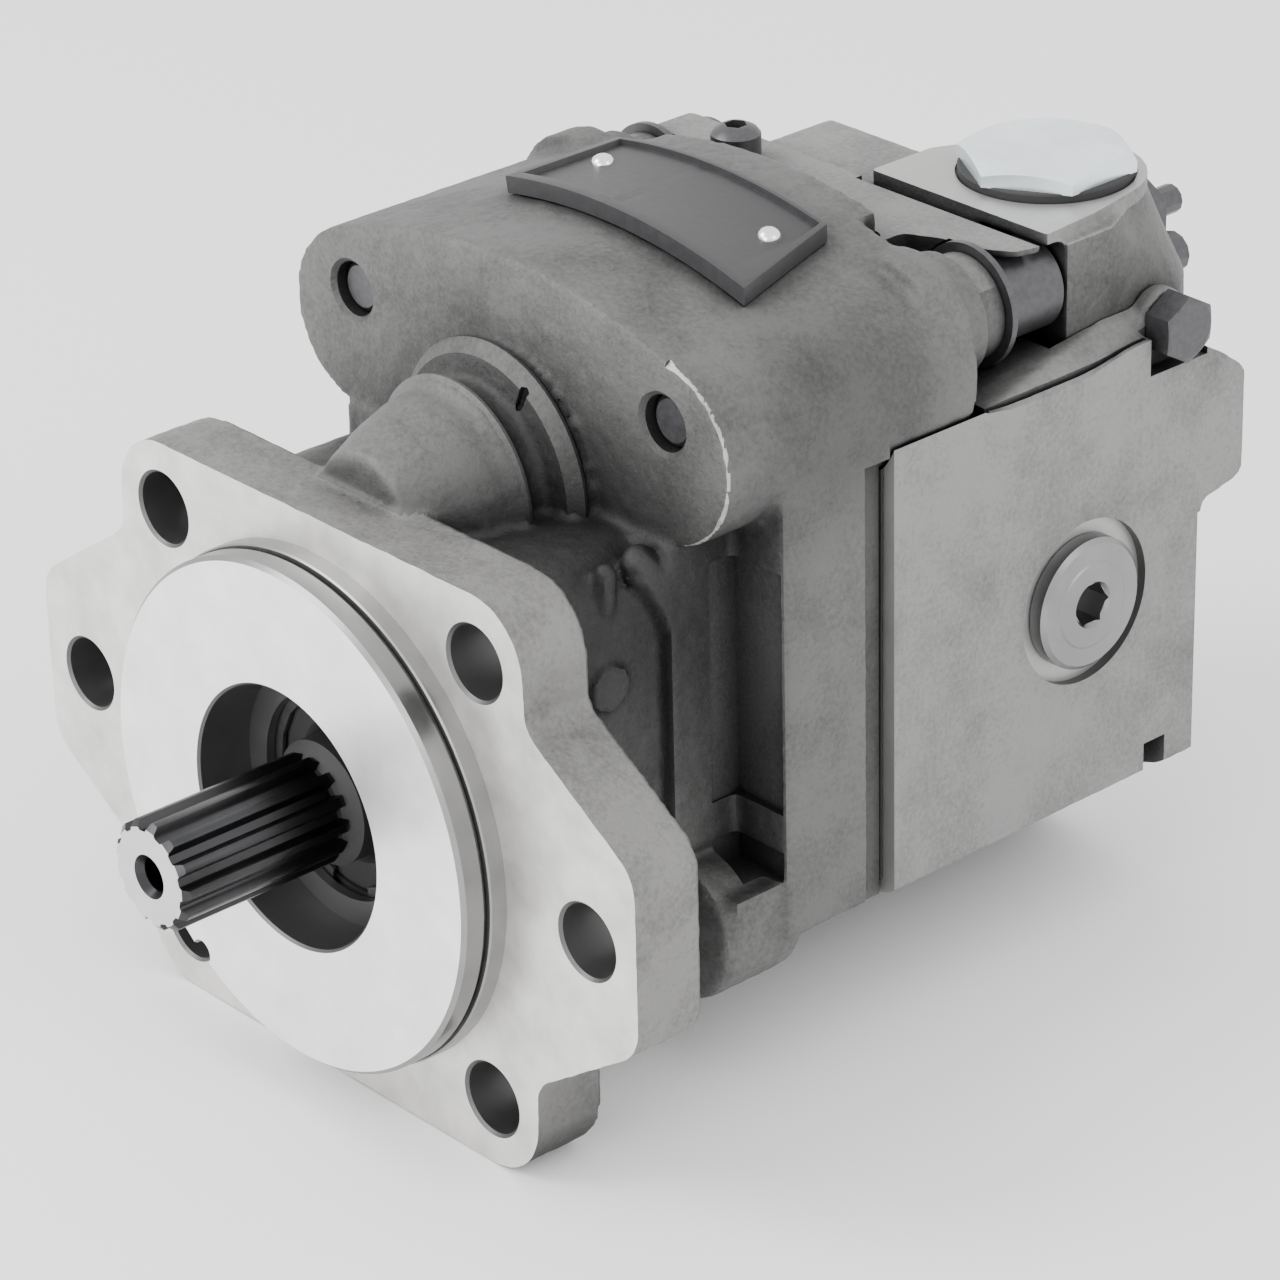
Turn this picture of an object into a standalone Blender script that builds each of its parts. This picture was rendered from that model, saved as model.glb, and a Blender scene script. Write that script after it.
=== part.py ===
"""Variable axial piston pump with a two-and-four-bolt mounting flange.

Frame: the origin is the centre of the mounting face, on the shaft axis. +Y runs
from the mounting face to the rear, so the shaft end points along -Y. +Z is up.
Every dimension below is in millimetres, and MM turns it into metres.

At rest the swashplate stands at full displacement. Its pistons, slippers and
retainer are placed on the tilted swash plane.
"""
import math

import bmesh
import bpy
from mathutils import Matrix, Vector

MM = 0.001
GAP = 0.3                    # clearance between neighbouring pieces

# mounting flange and pilot
FLANGE_BACK = 15.5
FLANGE_HALF_WIDTH = 57.8
FLANGE_HALF_HEIGHT = 58.5
FLANGE_CORNER_R = 13.0
EAR_END_X = 86.0
EAR_HALF_HEIGHT = 13.0
EAR_CORNER_R = 9.0
FLANGE_HOLE_R = 7.15
FOUR_BOLT_XZ = 44.9
TWO_BOLT_X = 73.0
PILOT_R = 50.8
PILOT_FRONT = -9.7
PILOT_RECESS_R = 26.0

# front housing
NECK_HALF_WIDTH = 42.5
NECK_CORNER_R = 25.0
HEAD_FRONT = 46.6            # front face of the lobes
BODY_FRONT = 61.0            # front edge of the side pads
BODY_BACK = 87.7
LOBE_BACK = 110.0            # the lobes narrow to the bolt bosses behind here
ARCH_BACK = 115.0
ARCH_HALF_WIDTH = 29.0       # of the arch's lip behind the lobes
BOSS_R = 12.3                # round boss at the rear of each lobe
BOSS_BACK = 116.9
BODY_HALF_WIDTH = 60.0
SIDE_BOTTOM = -29.5
BELLY_R = 57.0
ARCH_TOP = 96.0
LOBE_X = 43.0
LOBE_Z = 70.0
LOBE_R = 18.0
LOBE_STEP = 18.0             # degrees between the points of a lobe
LOBE_POCKET_R = 18.8         # pocket in the rear block that clears a lobe
STEP_Z = 76.0                # height of the rear block's tongue under the arch
LOW_LOBE_X = 44.0
LOW_LOBE_Z = -28.0
LOW_LOBE_R = 14.5
RECESS_FRONT = 81.3          # side strip between the pads and the joint
RECESS_HALF_WIDTH = 57.0
BIAS_Z = 55.0
BIAS_BORE_R = 12.5
BIAS_BORE_FRONT = 38.0
CHAMBER_R = 41.5
CHAMBER_FRONT = 51.0
CHAMBER_BACK = 138.0
ARM_SLOT_HALF_WIDTH = 9.0

# rear block
BLOCK_FRONT = 88.8
BLOCK_BACK = 172.0
BROW_BACK = 184.5            # the upper part reaches further back
BROW_Z = 24.5
TOP_FRONT = 115.4
TOP_BACK = 137.2
TOP_Z = 88.0
PORT_X = 30.0
PORT_Z = -6.0
PORT_R = 12.5
PLUG_Y = 140.3
PLUG_Z = 13.6
SPOTFACE_R = 17.0
SPOTFACE_DEPTH = 2.0

# control body
CONTROL_LO = (4.3, 137.6, 62.3)
CONTROL_HI = (52.4, 184.6, 88.0)
SLAB_Z = 85.6                # underside of the control body's top slab
NOTCH_LEFT = 33.0            # the slab overhangs a notch behind the upper bolt
NOTCH_BACK = 142.0
CAP_X = 28.4
CAP_Y = 161.0
CAP_AF = 30.0
CAP_HEIGHT = 4.6
SPOOL_X = 28.4
SPOOL_Z = 72.0
SPOOL_R = 4.0
SPOOL_BORE_R = 4.4

# housing bolts
BOLT_X = 43.8
BOLT_Z = 75.7
LOW_BOLT_X = 40.0
LOW_BOLT_Z = -29.0
BOLT_R = 5.0
BOLT_HOLE_R = 5.5
BOLT_TIP = 49.0
BOLT_SEAT = 123.3
EAR_R = 10.5                 # ear of the rear block between a boss and its bolt
POCKET_FLOOR = 64.0
POCKET_TOP = 85.3
LOW_BOLT_SEAT = 158.0
BOLT_HEAD_R = 8.0
BOLT_HEAD_LENGTH = 10.0
TOP_HEAD_R = 9.2             # heads of the two upper bolts
TOP_HEAD_LENGTH = 17.7
TOP_FLANGE_R = 12.3
TOP_COUNTERBORE_R = 9.6
COUNTERBORE_R = 8.6
SCREW_X = (10.5, 36.2)       # control body screws
SCREW_Z = 65.2
SCREW_R = 2.25
SCREW_TIP = 127.0
GAUGE_Y = 165.5
GAUGE_Z = 63.5

# shaft
SHAFT_END = -41.2
SPLINE_TEETH = 13
SPLINE_TIP_R = 10.9
SPLINE_ROOT_R = 9.0
SPLINE_BACK = -2.0
SEAT_R = 15.0
SHAFT_R = 13.0
TAIL_R = 10.0

# rotating group
PIVOT_Y = 80.0               # the tilt axis is X through this point of the shaft axis
TILT = math.radians(15.0)    # swash angle at rest, full displacement
PISTON_COUNT = 9
BORE_PITCH_R = 27.0
BALL_PITCH_R = 2 * BORE_PITCH_R / (1 + math.cos(TILT))
PISTON_R = 7.4
BORE_R = 8.3
BALL_R = 5.0
PISTON_LENGTH = 37.0
SLIPPER_R = 8.3
SLIPPER_FOOT = 7.2
BARREL_R = 39.0
BARREL_FRONT = 93.0
BARREL_BACK = 134.0
SWASH_FACE = -7.5            # measured from the pivot along the swash normal
SWASH_BACK = -15.5
SWASH_R = 36.5
JOURNAL_R = 25.0
JOURNAL_X = (20.5, 35.0)
ARM_TIP = 55.0
ARM_DEPTH = -8.0
ARM_PAD_R = 5.0

COLOURS = {                  # base colour, roughness, metallic
    "cast_iron": ((0.30, 0.30, 0.30), 0.62, 0.55),
    "cast_iron_rear": ((0.34, 0.34, 0.34), 0.60, 0.55),
    "zinc_steel": ((0.78, 0.80, 0.82), 0.28, 1.0),
    "dark_steel": ((0.16, 0.16, 0.17), 0.38, 0.9),
    "ground_steel": ((0.62, 0.62, 0.63), 0.25, 1.0),
    "bronze": ((0.60, 0.43, 0.20), 0.38, 1.0),
    "black_label": ((0.03, 0.03, 0.035), 0.45, 0.0),
    "rubber": ((0.02, 0.02, 0.02), 0.7, 0.0),
    "spring_steel": ((0.38, 0.38, 0.40), 0.35, 1.0),
}


# ---------------------------------------------------------------- helpers

def clear_scene():
    for obj in list(bpy.data.objects):
        bpy.data.objects.remove(obj, do_unlink=True)


def new_collection(name):
    group = bpy.data.collections.new(name)
    bpy.context.scene.collection.children.link(group)
    return group


def finish_material(name):
    colour, roughness, metallic = COLOURS[name]
    finish = bpy.data.materials.new(name)
    finish.use_nodes = True
    shader = finish.node_tree.nodes["Principled BSDF"]
    shader.inputs["Base Color"].default_value = (*colour, 1.0)
    shader.inputs["Roughness"].default_value = roughness
    shader.inputs["Metallic"].default_value = metallic
    return finish


def add_part(name, mesh, material):
    """A named piece of the pump, with a material of its own."""
    part = bpy.data.objects.new(name, mesh)
    PARTS.objects.link(part)
    mesh.materials.clear()
    mesh.materials.append(finish_material(material))
    return part


def add_tool(mesh):
    """A shape that only cuts or joins."""
    tool = bpy.data.objects.new("tool", mesh)
    tool.hide_render = True
    tool.display_type = "WIRE"
    TOOLS.objects.link(tool)
    return tool


def combine(part, tools, operation):
    """Cut the tools from the part or join them to it; the tools follow the part."""
    for tool in tools:
        tool.parent = part
        step = part.modifiers.new(operation.lower(), "BOOLEAN")
        step.operation = operation
        step.solver = "EXACT"
        step.object = tool


def cut(part, *tools):
    combine(part, tools, "DIFFERENCE")


def join(part, *tools):
    combine(part, tools, "UNION")


def axis_matrix(axis):
    """Turns local +Z to the named world axis."""
    if axis == "X":
        return Matrix.Rotation(math.pi / 2, 4, "Y")
    if axis == "Y":
        return Matrix.Rotation(-math.pi / 2, 4, "X")
    return Matrix.Identity(4)


def place_on_axis(axis, across, along):
    """World point from the two cross-axis coordinates and the one along the axis."""
    first, second = across
    if axis == "X":
        return Vector((along, first, second)) * MM
    if axis == "Y":
        return Vector((first, along, second)) * MM
    return Vector((first, second, along)) * MM


def rod(radius, start, end, axis="Y", at=(0, 0), segments=24, end_radius=None):
    """Cylinder or cone from start to end along an axis, as a mesh."""
    bm = bmesh.new()
    middle = place_on_axis(axis, at, (start + end) / 2)
    bmesh.ops.create_cone(
        bm, cap_ends=True, segments=segments, radius1=radius * MM,
        radius2=(radius if end_radius is None else end_radius) * MM,
        depth=(end - start) * MM, matrix=Matrix.Translation(middle) @ axis_matrix(axis))
    return bm_mesh(bm)


def block(low, high):
    """Box between two corners, as a mesh."""
    low = Vector(low) * MM
    high = Vector(high) * MM
    size = high - low
    bm = bmesh.new()
    bmesh.ops.create_cube(
        bm, size=1.0, matrix=Matrix.Translation((low + high) / 2) @ Matrix.Diagonal((*size, 1.0)))
    return bm_mesh(bm)


def bm_mesh(bm):
    mesh = bpy.data.meshes.new("shape")
    bm.to_mesh(mesh)
    bm.free()
    return mesh


def stacked(levels):
    """Solid through plans at rising heights, as a mesh; every plan has the same number of points."""
    bm = bmesh.new()
    rings = [[bm.verts.new(Vector((x, y, z)) * MM) for x, y in outline] for z, outline in levels]
    bm.faces.new(rings[0])
    bm.faces.new(rings[-1])
    for low, high in zip(rings, rings[1:]):
        for i in range(len(low)):
            after = (i + 1) % len(low)
            bm.faces.new((low[i], low[after], high[after], high[i]))
    bmesh.ops.triangulate(bm, faces=bm.faces)
    bmesh.ops.recalc_face_normals(bm, faces=bm.faces)
    return bm_mesh(bm)


def plate(outline, start, end, axis="Y", holes=()):
    """Flat outline given thickness from start to end along an axis, as a mesh."""
    curve = bpy.data.curves.new("outline", "CURVE")
    curve.dimensions = "2D"
    curve.fill_mode = "BOTH"
    curve.extrude = abs(end - start) / 2 * MM
    for loop in (outline, *holes):
        spline = curve.splines.new("POLY")
        spline.points.add(len(loop) - 1)
        for point, (across, up) in zip(spline.points, loop):
            point.co = (across * MM, up * MM, 0.0, 1.0)
        spline.use_cyclic_u = True
    mesh = solid_from_curve(curve)
    turn = {
        "X": Matrix(((0, 0, 1), (1, 0, 0), (0, 1, 0))),
        "Y": Matrix(((1, 0, 0), (0, 0, -1), (0, 1, 0))),
        "Z": Matrix.Identity(3),
    }[axis]
    mesh.transform(turn.to_4x4())
    mesh.transform(Matrix.Translation(place_on_axis(axis, (0, 0), (start + end) / 2)))
    return mesh


def solid_from_curve(curve):
    """Evaluated curve as a mesh whose caps are welded on."""
    holder = bpy.data.objects.new("holder", curve)
    TOOLS.objects.link(holder)
    graph = bpy.context.evaluated_depsgraph_get()
    mesh = bpy.data.meshes.new_from_object(holder.evaluated_get(graph))
    bpy.data.objects.remove(holder, do_unlink=True)
    bm = bmesh.new()
    bm.from_mesh(mesh)
    bmesh.ops.remove_doubles(bm, verts=bm.verts, dist=1e-6)
    bmesh.ops.recalc_face_normals(bm, faces=bm.faces)
    bm.to_mesh(mesh)
    bm.free()
    return mesh


def turned(part, segments=24):
    """Screw modifier that turns a profile about the object's own Z axis."""
    turn = part.modifiers.new("turn", "SCREW")
    turn.axis = "Z"
    turn.steps = segments
    turn.render_steps = segments
    turn.use_merge_vertices = True
    turn.merge_threshold = 0.00001
    return part


def profile_mesh(profile, ring=False):
    """Edges through (radius, height) points; a ring's last point joins its first."""
    mesh = bpy.data.meshes.new("profile")
    points = [(radius * MM, 0.0, height * MM) for radius, height in profile]
    edges = [(i, i + 1) for i in range(len(points) - 1)]
    if ring:
        edges.append((len(points) - 1, 0))
    mesh.from_pydata(points, edges, [])
    return mesh


def turned_part(name, profile, material, at=(0, 0, 0), ring=False, segments=24, axis="Y"):
    """Turned piece whose profile heights run along the axis from the point at."""
    part = add_part(name, profile_mesh(profile, ring), material)
    turned(part, segments)
    part.matrix_world = Matrix.Translation(Vector(at) * MM) @ axis_matrix(axis)
    return part


def turned_tool(profile, at=(0, 0, 0), ring=False, segments=24, axis="Y"):
    """Turned cutter, evaluated at once so that it can be parented like the others."""
    shape = bpy.data.objects.new("turning", profile_mesh(profile, ring))
    TOOLS.objects.link(shape)
    turned(shape, segments)
    graph = bpy.context.evaluated_depsgraph_get()
    mesh = bpy.data.meshes.new_from_object(shape.evaluated_get(graph))
    bpy.data.objects.remove(shape, do_unlink=True)
    mesh.transform(Matrix.Translation(Vector(at) * MM) @ axis_matrix(axis))
    return add_tool(mesh)


def arc(centre, radius, start, end, steps):
    """Points on an arc; the angles are in degrees."""
    points = []
    for i in range(steps + 1):
        angle = math.radians(start + (end - start) * i / steps)
        points.append((centre[0] + radius * math.cos(angle), centre[1] + radius * math.sin(angle)))
    return points


def mirrored(points):
    """The outline's other half, in the order that closes the loop."""
    return [(-across, up) for across, up in reversed(points)]


def hexagon(flats, centre=(0, 0)):
    return arc(centre, flats / math.sqrt(3), 30, 330, 5)


def coil(name, radius, wire_r, turns, start, end, centre, points_per_turn=12):
    """Compression spring along Y, as a bevelled POLY curve made into a mesh."""
    curve = bpy.data.curves.new(name, "CURVE")
    curve.dimensions = "3D"
    curve.bevel_depth = wire_r * MM
    curve.bevel_resolution = 0
    curve.use_fill_caps = True
    spline = curve.splines.new("POLY")
    count = int(turns * points_per_turn)
    spline.points.add(count)
    for i, point in enumerate(spline.points):
        angle = 2 * math.pi * i / points_per_turn
        along = start + wire_r + (end - start - 2 * wire_r) * i / count
        point.co = ((centre[0] + radius * math.cos(angle)) * MM, along * MM,
                    (centre[1] + radius * math.sin(angle)) * MM, 1.0)
    return add_part(name, solid_from_curve(curve), "spring_steel")


def swash_point(angle, radius, height=0.0):
    """World point on the tilted swash plane, at an angle round its normal."""
    up = radius * math.sin(angle)
    return Vector((radius * math.cos(angle),
                   PIVOT_Y + up * math.sin(TILT) + height * math.cos(TILT),
                   up * math.cos(TILT) - height * math.sin(TILT)))


def tilt_with_swash(part, point=(0, PIVOT_Y, 0)):
    """Place a piece that was modelled about the pivot with its normal along +Y."""
    part.matrix_world = Matrix.Translation(Vector(point) * MM) @ Matrix.Rotation(-TILT, 4, "X")


# ---------------------------------------------------------------- outlines (x, z)

def flange_outline():
    corner = (FLANGE_HALF_WIDTH - FLANGE_CORNER_R, FLANGE_HALF_HEIGHT - FLANGE_CORNER_R)
    quarter = arc((EAR_END_X - EAR_CORNER_R, EAR_HALF_HEIGHT), EAR_CORNER_R, 0, 58, 3)
    quarter += [(59.6, 35.6), (FLANGE_HALF_WIDTH, 37.6)]
    quarter += arc(corner, FLANGE_CORNER_R, 0, 90, 4)
    upper = quarter + mirrored(quarter)
    lower = [(x, -z) for x, z in reversed(upper)]
    return upper + lower


def arch_angle():
    """Direction, from the arch's centre, in which arch and lobe touch."""
    return math.degrees(math.atan2(LOBE_Z - arch_centre_z(), LOBE_X))


def arch_centre_z():
    """Centre height of the arch that is tangent to both lobes and reaches ARCH_TOP."""
    rise = ARCH_TOP - LOBE_Z
    radius = (LOBE_X ** 2 + rise ** 2 - LOBE_R ** 2) / (2 * (rise - LOBE_R))
    return ARCH_TOP - radius


def arch_points(steps=8):
    touch = arch_angle()
    return arc((0, arch_centre_z()), ARCH_TOP - arch_centre_z(), touch, 180 - touch, steps)


def lobe_points(first_angle):
    """Lobe from first_angle to the arch, in steps counted back from the arch."""
    angles = []
    angle = arch_angle()
    while angle > first_angle + LOBE_STEP / 3:
        angles.append(angle)
        angle -= LOBE_STEP
    angles.append(first_angle)
    return [arc((LOBE_X, LOBE_Z), LOBE_R, angle, angle, 1)[0] for angle in reversed(angles)]


def head_outline(first_angle, floor):
    """Arch and lobes; each lobe starts at first_angle, and floor closes the outline."""
    lobe = lobe_points(first_angle)
    return floor + lobe[:-1] + arch_points() + mirrored(lobe[:-1])


def arch_lip_outline():
    """Top of the arch between the lobes, down to the tongue of the rear block."""
    centre_z = arch_centre_z()
    radius = ARCH_TOP - centre_z
    edge = math.degrees(math.acos(ARCH_HALF_WIDTH / radius))
    low = STEP_Z + GAP
    return [(-ARCH_HALF_WIDTH, low), (ARCH_HALF_WIDTH, low)] + arc((0, centre_z), radius, edge, 180 - edge, 6)


def belly_outline(half_width, side_bottom, top):
    """Straight sides over a round belly, with a flat top."""
    side = [(half_width, top), (half_width, side_bottom), (half_width - 2.5, side_bottom - 1.7)]
    belly = arc((0, 0), BELLY_R, -38, -142, 10)
    return side + belly + mirrored(side)


def keyhole(chamber_r, bore_r, slot_half_width):
    """Chamber circle joined to the bias bore by the slot for the control arm."""
    chamber_edge = math.degrees(math.asin(slot_half_width / chamber_r))
    bore_edge = math.degrees(math.asin(slot_half_width / bore_r))
    outline = arc((0, 0), chamber_r, 90 + chamber_edge, 450 - chamber_edge, 28)
    return outline + arc((0, BIAS_Z), bore_r, bore_edge - 90, 270 - bore_edge, 10)


def rounded_square(half_width, low, high, radius):
    points = arc((half_width - radius, high - radius), radius, 0, 90, 4)
    points += arc((radius - half_width, high - radius), radius, 90, 180, 4)
    points += arc((radius - half_width, low + radius), radius, 180, 270, 4)
    points += arc((half_width - radius, low + radius), radius, 270, 360, 4)
    return points


# ---------------------------------------------------------------- castings

def build_front_housing():
    housing = add_part("front_housing", plate(flange_outline(), 0, FLANGE_BACK), "cast_iron")
    neck = rounded_square(NECK_HALF_WIDTH, -NECK_HALF_WIDTH, 50, NECK_CORNER_R)
    side_start = -math.degrees(math.acos((BODY_HALF_WIDTH - LOBE_X) / LOBE_R))
    extension_start = math.degrees(math.acos((STEP_Z + GAP - LOBE_Z) / LOBE_R)) - 270
    join(
        housing,
        add_tool(rod(PILOT_R, PILOT_FRONT, 1, segments=36)),
        add_tool(plate(neck, 14, 62)),
        add_tool(rod(20.4, 33.5, 48, at=(0, BIAS_Z), end_radius=25, segments=16)),
        add_tool(plate(head_outline(-100, []), HEAD_FRONT, BODY_BACK)),
        add_tool(plate(head_outline(side_start, [(BODY_HALF_WIDTH, 40)]), BODY_FRONT, BODY_BACK)),
        add_tool(plate(belly_outline(BODY_HALF_WIDTH, SIDE_BOTTOM, 66), BODY_FRONT, BODY_BACK)),
        add_tool(plate(head_outline(extension_start, []), BODY_BACK - 1, LOBE_BACK)),
        add_tool(plate(arch_lip_outline(), LOBE_BACK - 4, ARCH_BACK)))
    for side in (-1, 1):
        join(housing, add_tool(rod(LOW_LOBE_R, HEAD_FRONT, BODY_FRONT + 2,
                                   at=(side * LOW_LOBE_X, LOW_LOBE_Z), segments=12)))
        boss = [(0, BOSS_BACK), (BOSS_R, BOSS_BACK), (BOSS_R, LOBE_BACK + 3.5), (15, LOBE_BACK + 0.5),
                (15, LOBE_BACK - 6), (0, LOBE_BACK - 6)]
        join(housing, turned_tool(boss, at=(side * BOLT_X, 0, BOLT_Z), segments=16))
    cut_housing_bores(housing)
    add_cradle_saddles(housing)


def cut_housing_bores(housing):
    bore = [(0, 54), (31.3, 54), (31.3, 16), (20.8, 16), (20.8, 5.8), (22.3, 5.8), (22.3, 4.4),
            (20.8, 4.4), (20.8, 2.5), (PILOT_RECESS_R, 2.5), (PILOT_RECESS_R, -12), (0, -12)]
    cut(
        housing,
        turned_tool(bore, segments=24),
        add_tool(rod(CHAMBER_R, CHAMBER_FRONT, BODY_BACK + 1, segments=24)),
        add_tool(rod(BIAS_BORE_R, BIAS_BORE_FRONT, BODY_BACK + 1, at=(0, BIAS_Z), segments=12)),
        add_tool(block((-ARM_SLOT_HALF_WIDTH, CHAMBER_FRONT, 38),
                       (ARM_SLOT_HALF_WIDTH, BODY_BACK + 1, BIAS_Z))))
    for side in (-1, 1):
        cut(
            housing,
            add_tool(rod(FLANGE_HOLE_R, -2, FLANGE_BACK + 2, at=(side * TWO_BOLT_X, 0), segments=16)),
            add_tool(rod(BOLT_HOLE_R, 30, BOSS_BACK + 2, at=(side * BOLT_X, BOLT_Z), segments=12)),
            add_tool(rod(BOLT_HOLE_R, 38, BODY_BACK + 2, at=(side * LOW_BOLT_X, LOW_BOLT_Z), segments=12)),
            add_tool(block((min(side * 57, side * 62), RECESS_FRONT, -36),
                           (max(side * 57, side * 62), BODY_BACK + 1, 61))))
        for up in (-1, 1):
            at = (side * FOUR_BOLT_XZ, up * FOUR_BOLT_XZ)
            cut(housing, add_tool(rod(FLANGE_HOLE_R, -2, FLANGE_BACK + 2, at=at, segments=16)))


def add_cradle_saddles(housing):
    """Two blocks in the chamber, hollowed to carry the cradle bearings."""
    for side in (-1, 1):
        low_x, high_x = sorted((side * (JOURNAL_X[0] + 0.3), side * (JOURNAL_X[1] - 0.3)))
        saddle = add_tool(block((low_x, CHAMBER_FRONT - 2, -15), (high_x, 66, 20)))
        seat = add_tool(rod(JOURNAL_R + 2.6, low_x - 2, high_x + 2, "X", at=(PIVOT_Y, 0), segments=24))
        join(housing, saddle)
        cut(housing, seat)


def build_rear_block():
    side = [(BLOCK_FRONT, -60), (BLOCK_FRONT, 64.5), (105, 64), (119, 60.5), (132, 59.6), (145, 62),
            (157, 63.3), (172.7, 57.4), (BROW_BACK, 49.6), (BROW_BACK, BROW_Z + 2),
            (BLOCK_BACK, BROW_Z), (BLOCK_BACK, -60)]
    rear = add_part("rear_block", plate(side, -BODY_HALF_WIDTH, BODY_HALF_WIDTH, "X"), "cast_iron_rear")
    outline = belly_outline(BODY_HALF_WIDTH + 1, SIDE_BOTTOM - 1, 70)
    combine(rear, [add_tool(plate(outline, 80, 190))], "INTERSECT")
    join(
        rear,
        add_tool(block((-24, BLOCK_FRONT, 50), (24, TOP_BACK, STEP_Z))),
        add_tool(block((-46, TOP_FRONT, 50), (52.4, TOP_BACK, TOP_Z))),
        add_tool(plate([(52.7, 50), (59.9, 50), (59.9, 60.8), (52.7, 67.2)], TOP_BACK - 1, BLOCK_BACK)),
        add_tool(plate([(-59.9, 50), (4, 50), (4, 84), (-30, 84), (-59.9, 64)], TOP_BACK - 1, BLOCK_BACK)),
        add_tool(rod(6.4, 50, 56.4, "X", at=(GAUGE_Y, GAUGE_Z), segments=12)))
    add_bolt_ears(rear)
    cut_block_bores(rear)
    cut_block_outside(rear)


def add_bolt_ears(rear):
    """Open pockets for the two upper bolts, each with an ear that the bolt clamps."""
    for side in (-1, 1):
        ledge = [(29, 108), (29, 121.5), (36, 124.8), (46, 126.9), (50.7, 129.9), (52.5, TOP_BACK + 0.1),
                 (64, TOP_BACK + 0.1), (64, 108)]
        ledge = [(side * x, y) for x, y in ledge]
        low_x, high_x = sorted((side * 41, side * 64))
        web_low, web_high = sorted((side * 24, side * BOLT_X))
        at = (side * BOLT_X, BOLT_Z)
        cut(
            rear,
            add_tool(plate(ledge, POCKET_FLOOR, 100, "Z")),
            add_tool(block((low_x, BOLT_SEAT, POCKET_FLOOR), (high_x, TOP_BACK + 0.1, POCKET_TOP))),
            add_tool(rod(LOBE_POCKET_R, 80, LOBE_BACK + 4, at=(side * LOBE_X, LOBE_Z), segments=16)),
            add_tool(rod(TOP_FLANGE_R + 0.5, 80, BOLT_SEAT + 2.6, at=at, segments=16)))
        join(
            rear,
            add_tool(rod(EAR_R, BOSS_BACK + GAP, BOLT_SEAT, at=at, segments=16)),
            add_tool(block((web_low, BOSS_BACK + GAP, 56), (web_high, BOLT_SEAT, BOLT_Z))))


def cut_block_bores(rear):
    chamber = [(0, 156), (14.4, 156), (14.4, CHAMBER_BACK), (CHAMBER_R, CHAMBER_BACK),
               (CHAMBER_R, 80), (0, 80)]
    cut(
        rear,
        turned_tool(chamber, segments=24),
        add_tool(rod(8.7, 90, 137, at=(0, BIAS_Z), segments=12)),
        add_tool(rod(BIAS_BORE_R, 80, 96, at=(0, BIAS_Z), segments=12)),
        add_tool(block((-ARM_SLOT_HALF_WIDTH, 80, 38), (ARM_SLOT_HALF_WIDTH, 96, BIAS_Z))))
    for x in SCREW_X:
        cut(rear, add_tool(rod(SCREW_R + GAP, SCREW_TIP - 2, 150, at=(x, SCREW_Z), segments=10)))
    for side in (-1, 1):
        cut(
            rear,
            add_tool(rod(PORT_R, CHAMBER_BACK - 1, BLOCK_BACK + 5, at=(side * PORT_X, PORT_Z), segments=16)),
            add_tool(rod(BOLT_HOLE_R, 100, 190, at=(side * BOLT_X, BOLT_Z), segments=12)),
            add_tool(rod(BOLT_HOLE_R, 80, 190, at=(side * LOW_BOLT_X, LOW_BOLT_Z), segments=12)),
            add_tool(rod(TOP_COUNTERBORE_R, BOLT_SEAT, BOLT_SEAT + TOP_HEAD_LENGTH + 1,
                         at=(side * BOLT_X, BOLT_Z), segments=16)),
            add_tool(rod(COUNTERBORE_R, LOW_BOLT_SEAT, 190, at=(side * LOW_BOLT_X, LOW_BOLT_Z),
                         segments=16)))


def cut_block_outside(rear):
    control_low = (CONTROL_LO[0] - GAP, TOP_BACK, CONTROL_LO[2] - GAP)
    cut(
        rear,
        add_tool(block(control_low, (CONTROL_HI[0] + GAP, 190, 100))),
        add_tool(block((56.4, GAUGE_Y - 8, GAUGE_Z - 8), (62, GAUGE_Y + 8, 80))),
        add_tool(rod(4.4, 50, 57, "X", at=(GAUGE_Y, GAUGE_Z), segments=12)))
    for side in (-1, 1):
        face = side * BODY_HALF_WIDTH
        low_x, high_x = sorted((face - side * SPOTFACE_DEPTH, face + side * 3))
        hole_low, hole_high = sorted((face - side * 15, face + side * 3))
        head_low, head_high = sorted((side * 28, side * 70))
        cut(
            rear,
            add_tool(rod(SPOTFACE_R, low_x, high_x, "X", at=(PLUG_Y, PLUG_Z), segments=20)),
            add_tool(rod(9.9, hole_low, hole_high, "X", at=(PLUG_Y, PLUG_Z), segments=12)),
            add_tool(block((head_low, LOW_BOLT_SEAT, -70), (head_high, LOW_BOLT_SEAT + 6, LOW_BOLT_Z + 5))))


def control_outline(corner, round_r):
    """Plan of the control body: square at the front, round about the cap at the rear."""
    low_x, low_y = CONTROL_LO[:2]
    high_x, high_y = CONTROL_HI[:2]
    rear = arc((CAP_X, CAP_Y), round_r, 8, 172, 12)
    rear = [(min(max(x, low_x), high_x), min(y, high_y)) for x, y in rear]
    return [(low_x, low_y), (NOTCH_LEFT, low_y)] + corner + rear + [(low_x, 154)]


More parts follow.
